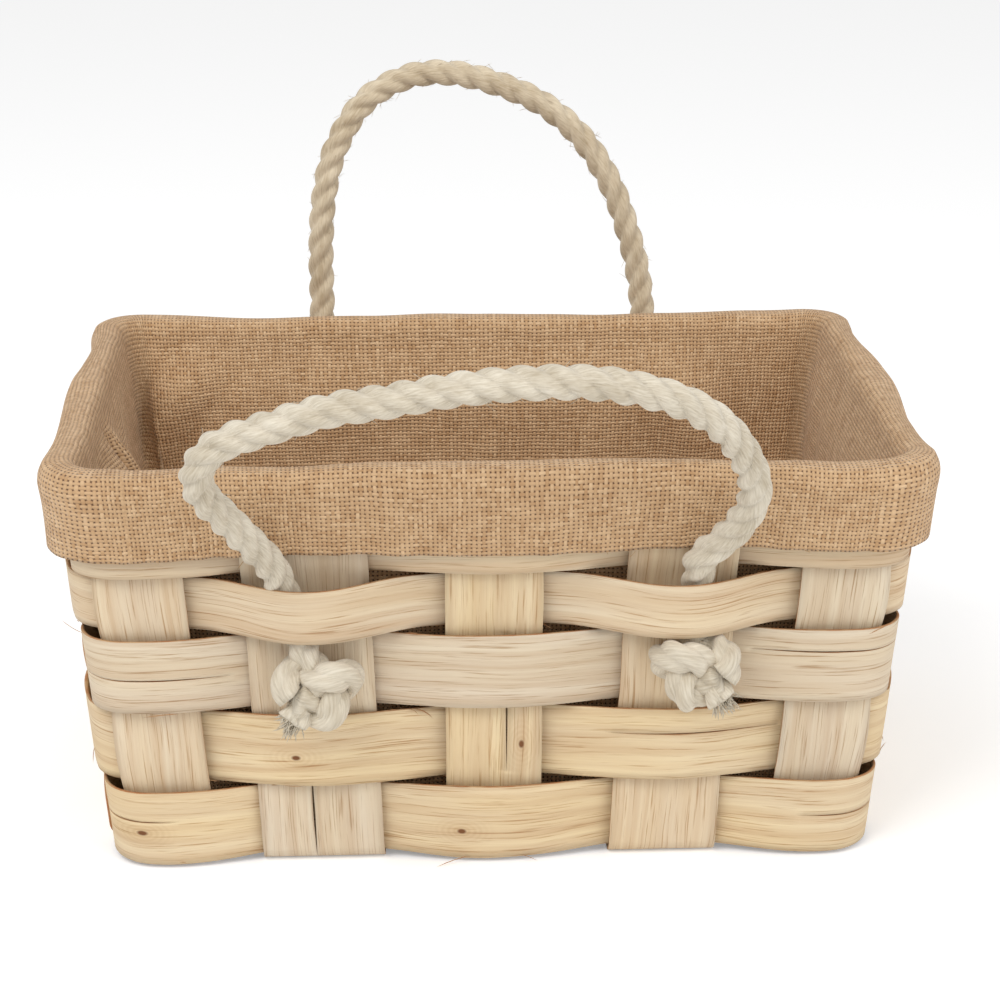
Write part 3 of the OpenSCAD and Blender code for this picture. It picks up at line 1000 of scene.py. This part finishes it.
    def weave_strip(self, name: str, share: float, width: float, crossing: int, side_w: bool,
                    crossed: Sequence[Crossing], seed: float, slits: Sequence[Slit] = (),
                    knots: Sequence[tuple[float, float]] = ()) -> None:
        """Make one upright strip, up one wall, under the base and up the opposite wall.

        Args:
            name: the CAD node that it replaces.
            share: its place on the wall, as a share of the straight half.
            width: its width.
            crossing: its crossing count, for its side of the weave.
            side_w: True for a strip of the front and back walls.
            crossed: the strips that it crosses under the base, from the outermost in.
            seed: its place in the grain pattern.
            slits: its splits, by distance from the front tip.
            knots: its knots.
        """
        stations = self.stations(side_w, crossed)
        wall_foot = stations[self.wall_cells].z
        total = 2 * len(stations) - 2
        lines = self.lines_across(slits)
        count = len(lines) - 1

        def at(index: int, w: float) -> Vector:
            """Point of the strip at a station and a distance across."""
            mirrored = index >= len(stations)
            z, inset, under, lift = stations[total - index if mirrored else index]
            along, beside = BASKET.straight(side_w, z), BASKET.straight(not side_w, z)
            off = BASKET.strip_off(crossing, max(z, wall_foot))
            x, y = BASKET.wall_point(share * along + w, off, along, beside)
            y = (y + inset) * (1 - under)
            if mirrored:
                y = -y
            return Vector((x, y, z + lift)) if side_w else Vector((-y, x, z + lift))

        lengths = [0.0]
        for i in range(total):
            lengths.append(lengths[-1] + (at(i + 1, 0.0) - at(i, 0.0)).length)

        def place(u: float, v: float) -> Vector:
            """Point of the strip at a share of its stations and a line across it."""
            index = round(u * total)
            line_share, slit, side = lines[round(v * count)]
            w = width * (line_share - 0.5)
            if slit:
                w = width * (slit.at - 0.5) + side * self.opening(slit, lengths[index])
            return at(index, w - self.waver(line_share, lengths[index], seed))

        bm = bmesh.new()
        mapped_grid(bm, total, count, place,
                    lambda u, v: (lengths[round(u * total)], width * (lines[round(v * count)].share - 0.5)),
                    lambda u, v: self.kept(lines[int(v * count)], lengths[int(u * total)]))
        finish = (self.straw, self.grey, self.yellow)[crossing % 3]
        self.dress(finished(bm, f"{name}_wood"), finish, seed, knots, "upright_chipwood", name)

    def build(self) -> None:
        """Make every strip and band."""
        slits = {1: (Slit(0.118, 0.163, 0.44, 0.0008),), 2: (Slit(0.062, 0.125, 0.63, 0.0007),)}
        knots = {2: ((0.112, 0.011),)}
        outer_long = range((len(BASKET.long_at) + 1) // 2)
        outer_cross = range((len(BASKET.cross_at) + 1) // 2)
        (long_start, long_step), (cross_start, cross_step) = self.long_grain, self.cross_grain
        band_start, band_step = self.band_grain
        for i, share in enumerate(BASKET.long_at):
            crossed = [Crossing(abs(BASKET.cross_at[j]) * BASKET.straight(False, 0.0), self.over(i, j),
                                BASKET.cross_width) for j in outer_cross]
            self.weave_strip(f"long_strip_{i + 1}", share, BASKET.long_widths[i], crossing=i, side_w=True,
                             crossed=crossed, seed=long_start + long_step * i, slits=slits.get(i, ()),
                             knots=knots.get(i, ()))
        for j, share in enumerate(BASKET.cross_at):
            crossed = [Crossing(abs(BASKET.long_at[i]) * BASKET.straight(True, 0.0), -self.over(i, j),
                                max(BASKET.long_widths[i], BASKET.long_widths[-1 - i])) for i in outer_long]
            self.weave_strip(f"cross_strip_{j + 1}", share, BASKET.cross_width,
                             crossing=len(BASKET.long_at) + j, side_w=False, crossed=crossed,
                             seed=cross_start + cross_step * j)
        for i, band in enumerate(self.bands()):
            self.weave_band(band, band_start + band_step * i)

    @staticmethod
    def over(i: int, j: int) -> int:
        """Side of a long strip at its crossing with a cross strip under the base, 1 for above."""
        return 1 if (i + j) % 2 == 0 else -1


@dataclass(frozen=True)
class Swell:
    """Slow waves in the cloth: height, rates round the loop and upward, and their part of the noise."""

    height: float
    per_round: float
    per_up: float
    part: float

    def rise(self, s: float, z: float) -> float:
        """Height of the waves at a place round the loop and a height."""
        return self.height * ripple(s * self.per_round, z * self.per_up, self.part)


@dataclass(frozen=True)
class Waver:
    """Waves along one line: their height, their rate and their part of the noise."""

    height: float
    rate: float
    part: float

    def rise(self, where: float) -> float:
        """Height of the waves at a place."""
        return self.height * ripple(where * self.rate, self.part)


@dataclass(frozen=True)
class Fold:
    """A ridge that runs up the cloth, in crossings round the loop.

    Attributes:
        height: how far it stands out, negative for a groove.
        at: its place at the level.
        half: half its width.
        slant: how far it moves on for each metre upward.
        level: the height at which its place is given.
    """

    height: float
    at: float
    half: float
    slant: float = 0.0
    level: float = 0.0

    def rise(self, phi: float, z: float) -> float:
        """Height of the ridge at a place."""
        return self.height * bump((phi - self.at - self.slant * (z - self.level)) / self.half)


@dataclass(frozen=True)
class HessianLiner:
    """The sewn cloth bag: floor, walls, fold over the rim and the cuff outside it.

    Attributes:
        inner: place of the cloth inside the walls' middle, as a distance outward.
        tuck: half of how far the foot of the inner wall rounds in and up.
        fold_h: how high the fold stands above the strips' tips.
        cuff_mid: mean depth of the cuff, which cuff_wave varies over the weave.
        sag: how far the inner wall leans in, with its mean, its waves and the height they fade over.
        wall_crease: the crease down the left wall, a ridge with a groove in it.
        folds: the two slanting folds at the back left and back right.
        hem: waves of the cuff's lower edge.
        crown: waves of the top of the fold.
        cuff_begins: share of the cuff's depth from which the hem's waves act.
        floor_lift: how high the floor's wrinkles are.
    """

    cloth_t: float = 0.0015
    inner: float = -0.0080
    floor_z: float = 0.00405
    tuck: float = 0.005
    fold_h: float = 0.009
    cuff_h: float = 0.036
    cuff_mid: float = 0.0068
    cuff_wave: float = 0.0022
    cells_round: int = 400
    floor_cells: int = 10
    curve_steps: int = 5
    sag: float = 0.0080
    sag_mean: float = 0.5
    sag_fade: float = 0.03
    sag_swell: Swell = Swell(0.8, 9, 8, 3.1)
    pucker: Swell = Swell(0.0030, 26, 15, 8.4)
    wall_crease: tuple[Fold, ...] = (Fold(0.011, 14.25, 0.45), Fold(-0.015, 14.25, 0.13))
    folds: tuple[Fold, ...] = (Fold(0.009, 12.4, 0.34, -11, 0.1), Fold(0.007, 8.4, 0.4, 7, 0.1))
    cuff_swell: Swell = Swell(0.0017, 20, 26, 5.5)
    cuff_bulge: Fold = Fold(0.0026, 15.3, 0.9)
    cuff_seam: Fold = Fold(-0.0011, 4.1, 0.045, 3, 0.15)
    hem: tuple[Waver, Waver] = (Waver(0.0014, 16, 2.2), Waver(0.0007, 9, 7.7))
    crown: tuple[Waver, Waver] = (Waver(0.0022, 11, 1.3), Waver(0.0010, 33, 6.1))
    crown_drop: float = 0.0006
    crown_half: float = 0.02
    cuff_begins: float = 0.99
    floor_lift: float = 0.0006
    floor_rate: float = 30.0

    @property
    def top(self) -> float:
        """Height of the top of the fold."""
        return BASKET.tip_z + self.fold_h

    @property
    def cuff_low(self) -> float:
        """Height of the cuff's lower edge."""
        return self.top - self.cuff_h

    def cuff_off(self, phi: float) -> float:
        """Distance of the cuff's outer face from the walls' middle."""
        return self.cuff_mid + self.cuff_wave * math.cos(math.pi * phi)

    def profile(self) -> list[tuple[float, float, float]]:
        """Points up the wall and over the fold: height, depth, and share of the cuff's own depth."""
        tip, top, low, half = BASKET.tip_z, self.top, self.cuff_low, self.cloth_t / 2
        wall_foot, wall_top, cuff_top = self.floor_z + 2 * self.tuck, tip - 0.003, tip + 0.0015
        wall_steps, cuff_steps = 5, 3
        return [(self.floor_z, self.inner - 2 * self.tuck, 0.0),
                (self.floor_z + 0.0012, self.inner - 0.004, 0.0),
                *((mix(wall_foot, wall_top, i / wall_steps), self.inner, 0.0)
                  for i in range(wall_steps + 1)),
                (tip + 0.0054, self.inner + 0.0012, 0.0),
                (top - half, self.inner + 0.0042, 0.1),
                (top - 0.0018, -0.0032, 1.0),
                *((mix(cuff_top, low + half, i / cuff_steps), -half, 1.0)
                  for i in range(cuff_steps + 1))]

    def drape(self, phi: float, z: float, share: float) -> float:
        """How far the cloth stands off its plain surface.

        Args:
            phi: place round the loop, in crossings.
            z: height.
            share: 0 on the inside wall, 1 on the cuff.

        Returns:
            The distance outward, negative where the cloth leans into the basket.
        """
        s = BASKET.place(phi, z)
        inside = ease((BASKET.tip_z - z) / self.sag_fade) * (1 - share)
        lean = self.sag * (self.sag_mean + self.sag_swell.rise(s, z)) + abs(self.pucker.rise(s, z))
        crease = sum(fold.rise(phi, z) for fold in self.wall_crease)
        folds = sum(fold.rise(phi, z) for fold in self.folds)
        outer = self.cuff_swell.rise(s, z) + self.cuff_bulge.rise(phi, z)
        return share * (outer + self.cuff_seam.rise(phi, z)) - inside * max(0.0, lean + crease + folds)

    def build(self) -> None:
        profile = smooth_route([Vector(p) for p in self.profile()], self.curve_steps)
        count = len(profile) - 1 + self.floor_cells

        def place(u: float, v: float) -> Vector:
            """Point of the cloth, a share round the loop and up the profile."""
            phi = BASKET.crossings * (u % 1.0)
            index = round(v * count)
            z, off, share = profile[max(0, index - self.floor_cells)]
            held = min(1.0, max(0.0, share))
            if held > self.cuff_begins:
                hem = self.hem[0].rise(BASKET.place(phi, z)) + self.hem[1].rise(phi)
                z += hem * ease((BASKET.tip_z - z) / (BASKET.tip_z - self.cuff_low))
            s = BASKET.place(phi, z)
            z += (bump((z - BASKET.tip_z - self.fold_h) / self.crown_half)
                  * (self.crown[0].rise(s) + self.crown[1].rise(s) - self.crown_drop))
            point = BASKET.weave_point(phi, z, off + held * self.cuff_off(phi) + self.drape(phi, z, held))
            if index < self.floor_cells:
                inward = index / self.floor_cells
                x, y = point.x * inward, point.y * inward
                lift = self.floor_lift * abs(ripple(x * self.floor_rate, y * self.floor_rate))
                point = Vector((x, y, z + lift))
            return point

        lengths = [0.0]
        for index in range(count):
            step = place(0.0, (index + 1) / count) - place(0.0, index / count)
            lengths.append(lengths[-1] + step.length)
        round_length = 4 * BASKET.quarter(BASKET.tip_z)
        bm = bmesh.new()
        mapped_grid(bm, self.cells_round, count, place,
                    lambda u, v: (u * round_length, lengths[round(v * count)]))
        piece = finished(bm, "hessian_liner_cloth", closed=True)
        piece.data.materials.append(HessianFinish().surface())
        thicken(piece, self.cloth_t)
        settle(piece, "hessian", "hessian_liner")
        log.info("%s: %.3f m2", piece.name, sum(face.area for face in piece.data.polygons))


# how far the trefoil's formula reaches across and up, and what centres it in height
TREFOIL_HALF_WIDTH = 2.74
TREFOIL_HALF_HEIGHT = 2.53
TREFOIL_RAISED = 0.47
# a rope's short end past its knot, from the knot's middle: sideways, outward, up
STUB = ((0.006, 0.003, -0.004), (0.011, 0.006, -0.0105))
FRAYED_R = 0.0003
HAIR_R = 0.0001
THREAD_R = 0.00014
FIBRE_CURL = 0.45


@dataclass
class RopeHandle:
    """One rope: its arch, its two ends down behind the rope row, and the knots that hold it.

    Attributes:
        arch: points of the free arch, x and distance up from the hinge line.
        knots: x and height of the left and right knots.
        lean: how far the arch leans outward.
        lay_length: length of one full turn of the strands.
        strand_share: a strand's radius as a share of the rope's.
        plump: how much thicker the rope is drawn than its set diameter.
        ring_pitch: distance between the rings of its mesh.
        tail_lean: the ends' slope under the hinge line, and tail_clear their clearance there.
        lift: height of the hinge line above a rope that lies on the row's edge.
        bend_below: how far below the hinge line the stretch at the bend begins, as bend_above is where it
            ends; nothing bends the pieces over it.
        knot_turn: where round the knot its mesh starts.
    """

    name: str
    wall: Wall
    body: Body
    arch: tuple[tuple[float, float], ...]
    knots: tuple[tuple[float, float], tuple[float, float]]
    lean: float
    finish: RopeFinish
    seed: int
    rope_d: float = 0.012
    lay_length: float = 0.032
    strand_share: float = 0.59
    plump: float = 1.0
    ring_pitch: float = 0.0011
    sides: int = 42
    curve_steps: int = 12
    knot_w: float = 0.036
    knot_h: float = 0.030
    knot_deep: float = 0.024
    tail_lean: float = math.radians(27)
    tail_clear: float = 0.001
    lift: float = 0.0032
    cuff_clear: float = 0.0051
    bend_below: float = 0.007
    bend_above: float = 0.012
    knot_steps: int = 240
    knot_turn: float = 0.5
    tuft_fibres: int = 110
    tuft_lengths: tuple[float, float] = (0.003, 0.0065)
    tuft_root: float = 0.003
    tuft_width: float = 0.0028
    tuft_spread: float = 0.42
    fuzz_fibres: int = 360
    fuzz_lengths: tuple[float, float] = (0.0018, 0.0050)
    fuzz_root: float = 0.86
    fuzz_rise: tuple[float, float] = (0.15, 0.9)

    @property
    def rope_r(self) -> float:
        """Radius of the rope."""
        return self.rope_d / 2

    @property
    def pivot(self) -> tuple[float, float, float]:
        """Height of the hinge line, its distance off the wall, and its distance from the middle."""
        z = BASKET.row_high(BASKET.rope_row) + self.rope_r + self.lift
        off = self.cuff_clear + self.rope_r
        return z, off, BASKET.half(False, z) + off

    @property
    def hinge(self) -> Vector:
        """Middle of the hinge line."""
        z, _, y = self.pivot
        return Vector((0.0, self.wall.value * y, z))

    @property
    def rise(self) -> Vector:
        """Direction in which the arch rises from the hinge line."""
        return Vector((0.0, self.wall.value * math.sin(self.lean), math.cos(self.lean)))

    def spread_bend(self, piece: bpy.types.Object) -> None:
        """Bake a piece's place into its mesh; the ends of the stretch at the hinge line are worked out but
        not used.
        """
        tuple(self.hinge - self.rise * self.bend_below)
        tuple(self.hinge + self.rise * self.bend_above)
        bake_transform(piece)

    def arch_route(self) -> list[Vector]:
        """The free arch's points, on the plane that leans out from the hinge line."""
        z, _, y = self.pivot
        return [Vector((x, self.wall.value * (y + up * math.sin(self.lean)), z + up * math.cos(self.lean)))
                for x, up in self.arch]

    def tail_route(self, exit_x: float, knot: tuple[float, float]) -> list[Vector]:
        """One end's points, from under the hinge line down behind the rope row and into its knot."""
        pivot_z, pivot_off, _ = self.pivot
        reach = self.rope_r + self.tail_clear
        row = BASKET.rope_row
        high, mid, low = BASKET.row_high(row), BASKET.row_mid(row), BASKET.row_low(row)
        # height, and how far the rope stands off the strip behind it
        stops = ((high - 0.002, 0.0007), (mid + 0.002, 0.0002), (mid - 0.005, 0.0002),
                 (low - 0.001, 0.0004), (low - 0.007, 0.0025))

        def point(z: float, off: float) -> Vector:
            """Point off the wall at a height, on the line from the knot to the exit."""
            x = mix(knot[0], exit_x, (z - knot[1]) / (pivot_z - knot[1]))
            return Vector((x, self.wall.value * (BASKET.half(False, z) + off), z))

        route = [point(pivot_z - reach * math.cos(self.tail_lean),
                       pivot_off - reach * math.sin(self.tail_lean))]
        for z, spare in stops:
            strip = BASKET.strip_off(BASKET.rope_strips[0], z)
            route.append(point(z, strip + BASKET.strip_t / 2 + BASKET.strip_gap + self.rope_r + spare))
        end = point(knot[1] + self.knot_h / 4, 0.0)
        end.x = knot[0]
        end.y = self.wall.value * (BASKET.half(False, knot[1]) + self.knot_off - 0.001)
        return [*route, end]

    @property
    def knot_off(self) -> float:
        """Distance of a knot's middle off the wall."""
        return BASKET.strip_swing + BASKET.strip_t / 2 + BASKET.strip_gap + self.knot_deep / 2

    def section(self, along: float, angle: float) -> float:
        """Radius of three round strands laid together, turned on along the rope."""
        third = 2 * math.pi / 3
        phase = (angle + 2 * math.pi * along / self.lay_length) % third - third / 2
        strand = self.strand_share * self.rope_r * self.plump
        out = self.rope_r * self.plump - strand
        return out * math.cos(phase) + math.sqrt(max(0.0, strand ** 2 - (out * math.sin(phase)) ** 2))

    def build(self) -> None:
        """Make the rope, its knots with frayed ends, and its fuzz."""
        material = self.finish.surface()
        left, right = self.knots
        route = [*reversed(self.tail_route(self.arch[0][0], left)), *self.arch_route(),
                 *self.tail_route(self.arch[-1][0], right)]
        line = even_steps(smooth_route(route, self.curve_steps), self.ring_pitch)
        bm = bmesh.new()
        add_tube(bm, line, self.sides, self.section)
        rope = finished(bm, f"{self.name}_laid_rope", closed=True)
        rope.data.materials.append(material)
        side = "front" if self.wall is Wall.FRONT else "back"
        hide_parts(f"{side}_handle_rope", f"{side}_left_rope_tail", f"{side}_right_rope_tail")
        self.spread_bend(rope)
        route_length(line)
        log.info("%s: %.3f m", rope.name, route_length(line))
        for which, way, knot in (("left", -1, left), ("right", 1, right)):
            self.tie_knot(f"{side}_{which}_knot", knot, way, material)
        self.add_fuzz(line, material)

    def knot_turns(self, at: Vector, way: int) -> list[Vector]:
        """Points once round a trefoil of the knot's size, less the rope's own thickness."""
        wide, deep, high = ((size - self.rope_d) / 2 for size in (self.knot_w, self.knot_deep, self.knot_h))
        turns = []
        for i in range(self.knot_steps + 1):
            t = 2 * math.pi * i / self.knot_steps + self.knot_turn
            across = (math.sin(t) + 2 * math.sin(2 * t)) / TREFOIL_HALF_WIDTH
            up = (math.cos(t) - 2 * math.cos(2 * t) + TREFOIL_RAISED) / TREFOIL_HALF_HEIGHT
            out = self.wall.value * deep * math.sin(3 * t)
            turns.append(at + Vector((way * wide * across, out, high * up)))
        return turns

    def tie_knot(self, node: str, knot: tuple[float, float], way: int,
                 material: bpy.types.Material) -> None:
        """Make one overhand knot and its frayed end.

        Args:
            node: the CAD node that it replaces.
            knot: its x and height.
            way: the side that its end points to, -1 left or 1 right.
            material: the rope's material.
        """
        at = Vector((knot[0], self.wall.value * (BASKET.half(False, knot[1]) + self.knot_off), knot[1]))
        stub = [at + Vector((way * x, self.wall.value * y, z)) for x, y, z in STUB]
        bm = bmesh.new()
        for line in (self.knot_turns(at, way), stub):
            add_tube(bm, even_steps(line, self.ring_pitch), self.sides, self.section)
        piece = finished(bm, f"{node}_rope", closed=True)
        piece.data.materials.append(material)
        settle(piece, "knot_rope", node)
        rng = random.Random(self.seed * 10 + way)
        bm = bmesh.new()
        out = (stub[1] - stub[0]).normalized()
        for _ in range(self.tuft_fibres):
            spread = scatter(rng)
            start = stub[1] - out * self.tuft_root + spread * self.tuft_width
            heading = (out + spread * self.tuft_spread).normalized()
            add_fibre(bm, start, heading, rng.uniform(*self.tuft_lengths), FRAYED_R, rng)
        tuft = finished(bm, f"{node}_tuft", closed=True)
        tuft.data.materials.append(material)
        settle(tuft, "knot_rope")

    def add_fuzz(self, line: Sequence[Vector], material: bpy.types.Material) -> None:
        """Make the loose fibres that stand off the rope."""
        rng = random.Random(self.seed)
        bm = bmesh.new()
        for _ in range(self.fuzz_fibres):
            i = rng.randrange(1, len(line) - 2)
            along = (line[i + 1] - line[i - 1]).normalized()
            out = along.cross(scatter(rng)).normalized()
            start = line[i] + out * self.rope_r * self.fuzz_root
            way = along * rng.choice((-1, 1)) + out * rng.uniform(*self.fuzz_rise)
            add_fibre(bm, start, way.normalized(), rng.uniform(*self.fuzz_lengths), HAIR_R, rng)
        fuzz = finished(bm, f"{self.name}_fuzz", closed=True)
        fuzz.data.materials.append(material)
        self.spread_bend(fuzz)


def add_fibre(bm: bmesh.types.BMesh, start: Vector, way: Vector, length: float, radius: float,
              rng: random.Random) -> None:
    """Add one loose, slightly curled fibre.

    Args:
        bm: the mesh that it is added to.
        start: where it begins.
        way: the direction in which it sets off.
        length: its length.
        radius: its thickest radius.
        rng: the seeded source of its curl.
    """
    curl = scatter(rng, FIBRE_CURL)
    steps, sides = 4, 3
    shares = [step / steps for step in range(steps + 1)]
    line = [start + way * length * t + curl * length * t * t for t in shares]
    add_tube(bm, line, sides, lambda along, angle: radius)


@dataclass
class StrayFibres:
    """Splinters that lift from the rows' edges and loose threads on the cuff.

    Attributes:
        look_ahead: crossings over which a row's direction is taken.
        splinter_rise: how much a splinter turns outward, as splinter_tilt is upward.
        thread_sunk: how deep in the cuff a thread begins, at one of thread_heights above its edge.
        thread_rise: how much a thread turns outward, as thread_stray is any way.
    """

    seed: int = 5
    splinters: int = 150
    look_ahead: float = 0.05
    splinter_rise: tuple[float, float] = (0.02, 0.22)
    splinter_tilt: tuple[float, float] = (-0.04, 0.10)
    splinter_lengths: tuple[float, float] = (0.004, 0.013)
    splinter_radii: tuple[float, float] = (0.00012, 0.00026)
    threads: int = 46
    thread_sunk: float = 0.0014
    thread_heights: tuple[float, float] = (0.0008, 0.0016)
    thread_rise: tuple[float, float] = (0.3, 1.0)
    thread_stray: float = 0.6
    thread_lengths: tuple[float, float] = (0.003, 0.008)

    def build(self) -> None:
        """Make both kinds, each as one piece, from one run of random draws."""
        rng = random.Random(self.seed)
        self.lift_splinters(rng)
        self.pull_threads(rng)

    def lift_splinters(self, rng: random.Random) -> None:
        """Make the splinters on all rows but the top one, and none where a rope pushes the row out."""
        bm = bmesh.new()
        for _ in range(self.splinters):
            row = rng.randrange(0, BASKET.top_row)
            z = BASKET.row_high(row) if rng.random() < 0.5 else BASKET.row_low(row)
            phi = rng.uniform(0, BASKET.crossings)
            if row == BASKET.rope_row and self.near_rope(phi):
                continue
            off = BASKET.row_swing * math.cos(math.pi * (phi + row)) + BASKET.strip_t / 2
            here = BASKET.weave_point(phi, z, off)
            ahead = BASKET.weave_point(phi + self.look_ahead, z, off) - here
            outward = BASKET.weave_point(phi, z, off + 0.01) - here
            way = ahead.normalized() * rng.choice((-1, 1))
            way += outward.normalized() * rng.uniform(*self.splinter_rise)
            way.z += rng.uniform(*self.splinter_tilt)
            add_fibre(bm, here, way.normalized(), rng.uniform(*self.splinter_lengths),
                      rng.uniform(*self.splinter_radii), rng)
        piece = finished(bm, "splinters", closed=True)
        piece.data.materials.append(ChipwoodFinish().cut_edge())
        settle(piece, "woven_chipwood")

    def pull_threads(self, rng: random.Random) -> None:
        """Make the loose threads at the cuff's lower edge."""
        bm = bmesh.new()
        liner = HessianLiner()
        for _ in range(self.threads):
            phi = rng.uniform(0, BASKET.crossings)
            z = liner.cuff_low + rng.choice(self.thread_heights)
            here = BASKET.weave_point(phi, z, liner.cuff_off(phi) - self.thread_sunk)
            outward = BASKET.weave_point(phi, z, 0.02) - BASKET.weave_point(phi, z, 0.0)
            way = outward.normalized() * rng.uniform(*self.thread_rise) + scatter(rng) * self.thread_stray
            add_fibre(bm, here, way.normalized(), rng.uniform(*self.thread_lengths), THREAD_R, rng)
        piece = finished(bm, "loose_threads", closed=True)
        jute = RopeFinish("loose_jute", srgb(214, 178, 128), srgb(180, 140, 95))
        piece.data.materials.append(jute.surface())
        settle(piece, "hessian")

    @staticmethod
    def near_rope(phi: float) -> bool:
        """True where the rope row is pushed out by a rope end."""
        return min(abs(phi - k) for k in BASKET.rope_strips) < BASKET.pocket_half


@dataclass(frozen=True)
class Lamp:
    """A soft area light: its name, place, size and power."""

    name: str
    at: tuple[float, float, float]
    size: float
    power: float


@dataclass(frozen=True)
class Studio:
    """Camera, white floor and soft light.

    Attributes:
        floor_lift: how much the floor glows, to the camera alone.
        ambient: strength of the world as light; to the camera it is 1.
    """

    camera_at: tuple[float, float, float] = (-0.0418, -1.0725, 0.4851)
    looks_at: tuple[float, float, float] = (0.0073, 0.0, 0.1190)
    lens: float = 95.03
    sensor: float = 36.0
    clip: tuple[float, float] = (0.05, 30.0)
    floor_white: Colour = (0.93, 0.93, 0.93, 1.0)
    floor_lift: float = 0.24
    ambient: float = 0.66
    floor_half: float = 6.0
    lamps: tuple[Lamp, ...] = (Lamp("key", (-0.9, -1.0, 1.6), size=1.2, power=18.0),
                               Lamp("fill", (1.2, -0.9, 0.9), size=1.4, power=8.0))

    def hang(self, name: str, data: bpy.types.ID, at: tuple[float, float, float]) -> bpy.types.Object:
        """Put a camera or lamp in its place, turned to the basket."""
        thing = bpy.data.objects.new(name, data)
        bpy.context.scene.collection.objects.link(thing)
        thing.location = at
        thing.rotation_euler = (Vector(self.looks_at) - thing.location).to_track_quat("-Z", "Y").to_euler()
        return thing

    def camera(self) -> None:
        """Place the camera at the photograph's angle."""
        data = bpy.data.cameras.new("camera")
        data.lens = self.lens
        data.sensor_width = self.sensor
        data.clip_start, data.clip_end = self.clip
        bpy.context.scene.camera = self.hang("camera", data, self.camera_at)

    def light(self) -> None:
        """Hang the lamps."""
        for lamp in self.lamps:
            data = bpy.data.lights.new(lamp.name, "AREA")
            data.size, data.energy = lamp.size, lamp.power
            self.hang(lamp.name, data, lamp.at)

    def floor(self) -> None:
        """Lay the floor, which is a little brighter to the camera alone."""
        bm = bmesh.new()
        bmesh.ops.create_grid(bm, x_segments=1, y_segments=1, size=self.floor_half)
        floor = finished(bm, "floor")
        material, desk, shader = new_material("floor_white", roughness=0.95)
        shader.inputs["Base Color"].default_value = self.floor_white
        shader.inputs["Specular IOR Level"].default_value = 0.0
        shader.inputs["Emission Color"].default_value = WHITE
        seen = desk.add("ShaderNodeLightPath").outputs["Is Camera Ray"]
        desk.feed(shader.inputs["Emission Strength"], desk.times(seen, self.floor_lift))
        floor.data.materials.append(material)

    def world(self) -> None:
        """White to the camera, softer as light."""
        world = bpy.data.worlds.new("studio")
        world.use_nodes = True
        bpy.context.scene.world = world
        desk = NodeDesk(world.node_tree)
        background = world.node_tree.nodes["Background"]
        background.inputs["Color"].default_value = WHITE
        seen = desk.add("ShaderNodeLightPath").outputs["Is Camera Ray"]
        strength = desk.math("MULTIPLY_ADD", seen, 1 - self.ambient, self.ambient)
        desk.feed(background.inputs["Strength"], strength)

    def build(self) -> None:
        """Set up everything but the camera."""
        bpy.context.scene.view_settings.view_transform = "Standard"
        self.floor()
        self.world()
        self.light()


def handles() -> list[RopeHandle]:
    """The front rope, leaning outward, and the back rope, standing against the cuff."""
    cream = RopeFinish("front_rope_cotton", srgb(228, 219, 201), srgb(186, 173, 150), 1.0)
    beige = RopeFinish("back_rope_cotton", srgb(222, 207, 181), srgb(180, 161, 132), 2.0)
    front = ((-0.086, 0.0), (-0.091, 0.010), (-0.102, 0.030), (-0.109, 0.043), (-0.111, 0.054),
             (-0.108, 0.065), (-0.100, 0.074), (-0.084, 0.082), (-0.063, 0.091), (-0.041, 0.096),
             (-0.016, 0.102), (0.010, 0.105), (0.036, 0.104), (0.062, 0.095), (0.080, 0.080),
             (0.092, 0.058), (0.096, 0.038), (0.091, 0.019), (0.084, 0.008), (0.079, 0.0))
    back = ((-0.071, 0.0), (-0.070, 0.020), (-0.070, 0.042), (-0.070, 0.066), (-0.068, 0.090),
            (-0.062, 0.112), (-0.049, 0.132), (-0.030, 0.143), (-0.010, 0.145), (0.012, 0.140),
            (0.034, 0.130), (0.052, 0.114), (0.065, 0.093), (0.073, 0.071), (0.078, 0.050),
            (0.080, 0.030), (0.081, 0.014), (0.080, 0.0))
    return [RopeHandle("front_handle", Wall.FRONT, Body.FRONT_HANDLE, front,
                       knots=((-0.069, 0.082), (0.078, 0.088)), lean=math.radians(33), finish=cream, seed=3,
                       plump=1.1),
            RopeHandle("back_handle", Wall.BACK, Body.BACK_HANDLE, back,
                       knots=((-0.071, 0.085), (0.079, 0.084)), lean=math.radians(6), finish=beige, seed=4)]


def main() -> None:
    logging.basicConfig(level=logging.INFO, format="%(name)s: %(message)s")
    studio = Studio()
    studio.camera()
    for handle in handles():
        handle.build()
    WovenBody().build()
    HessianLiner().build()
    StrayFibres().build()
    studio.build()


if __name__ == "__main__":
    main()
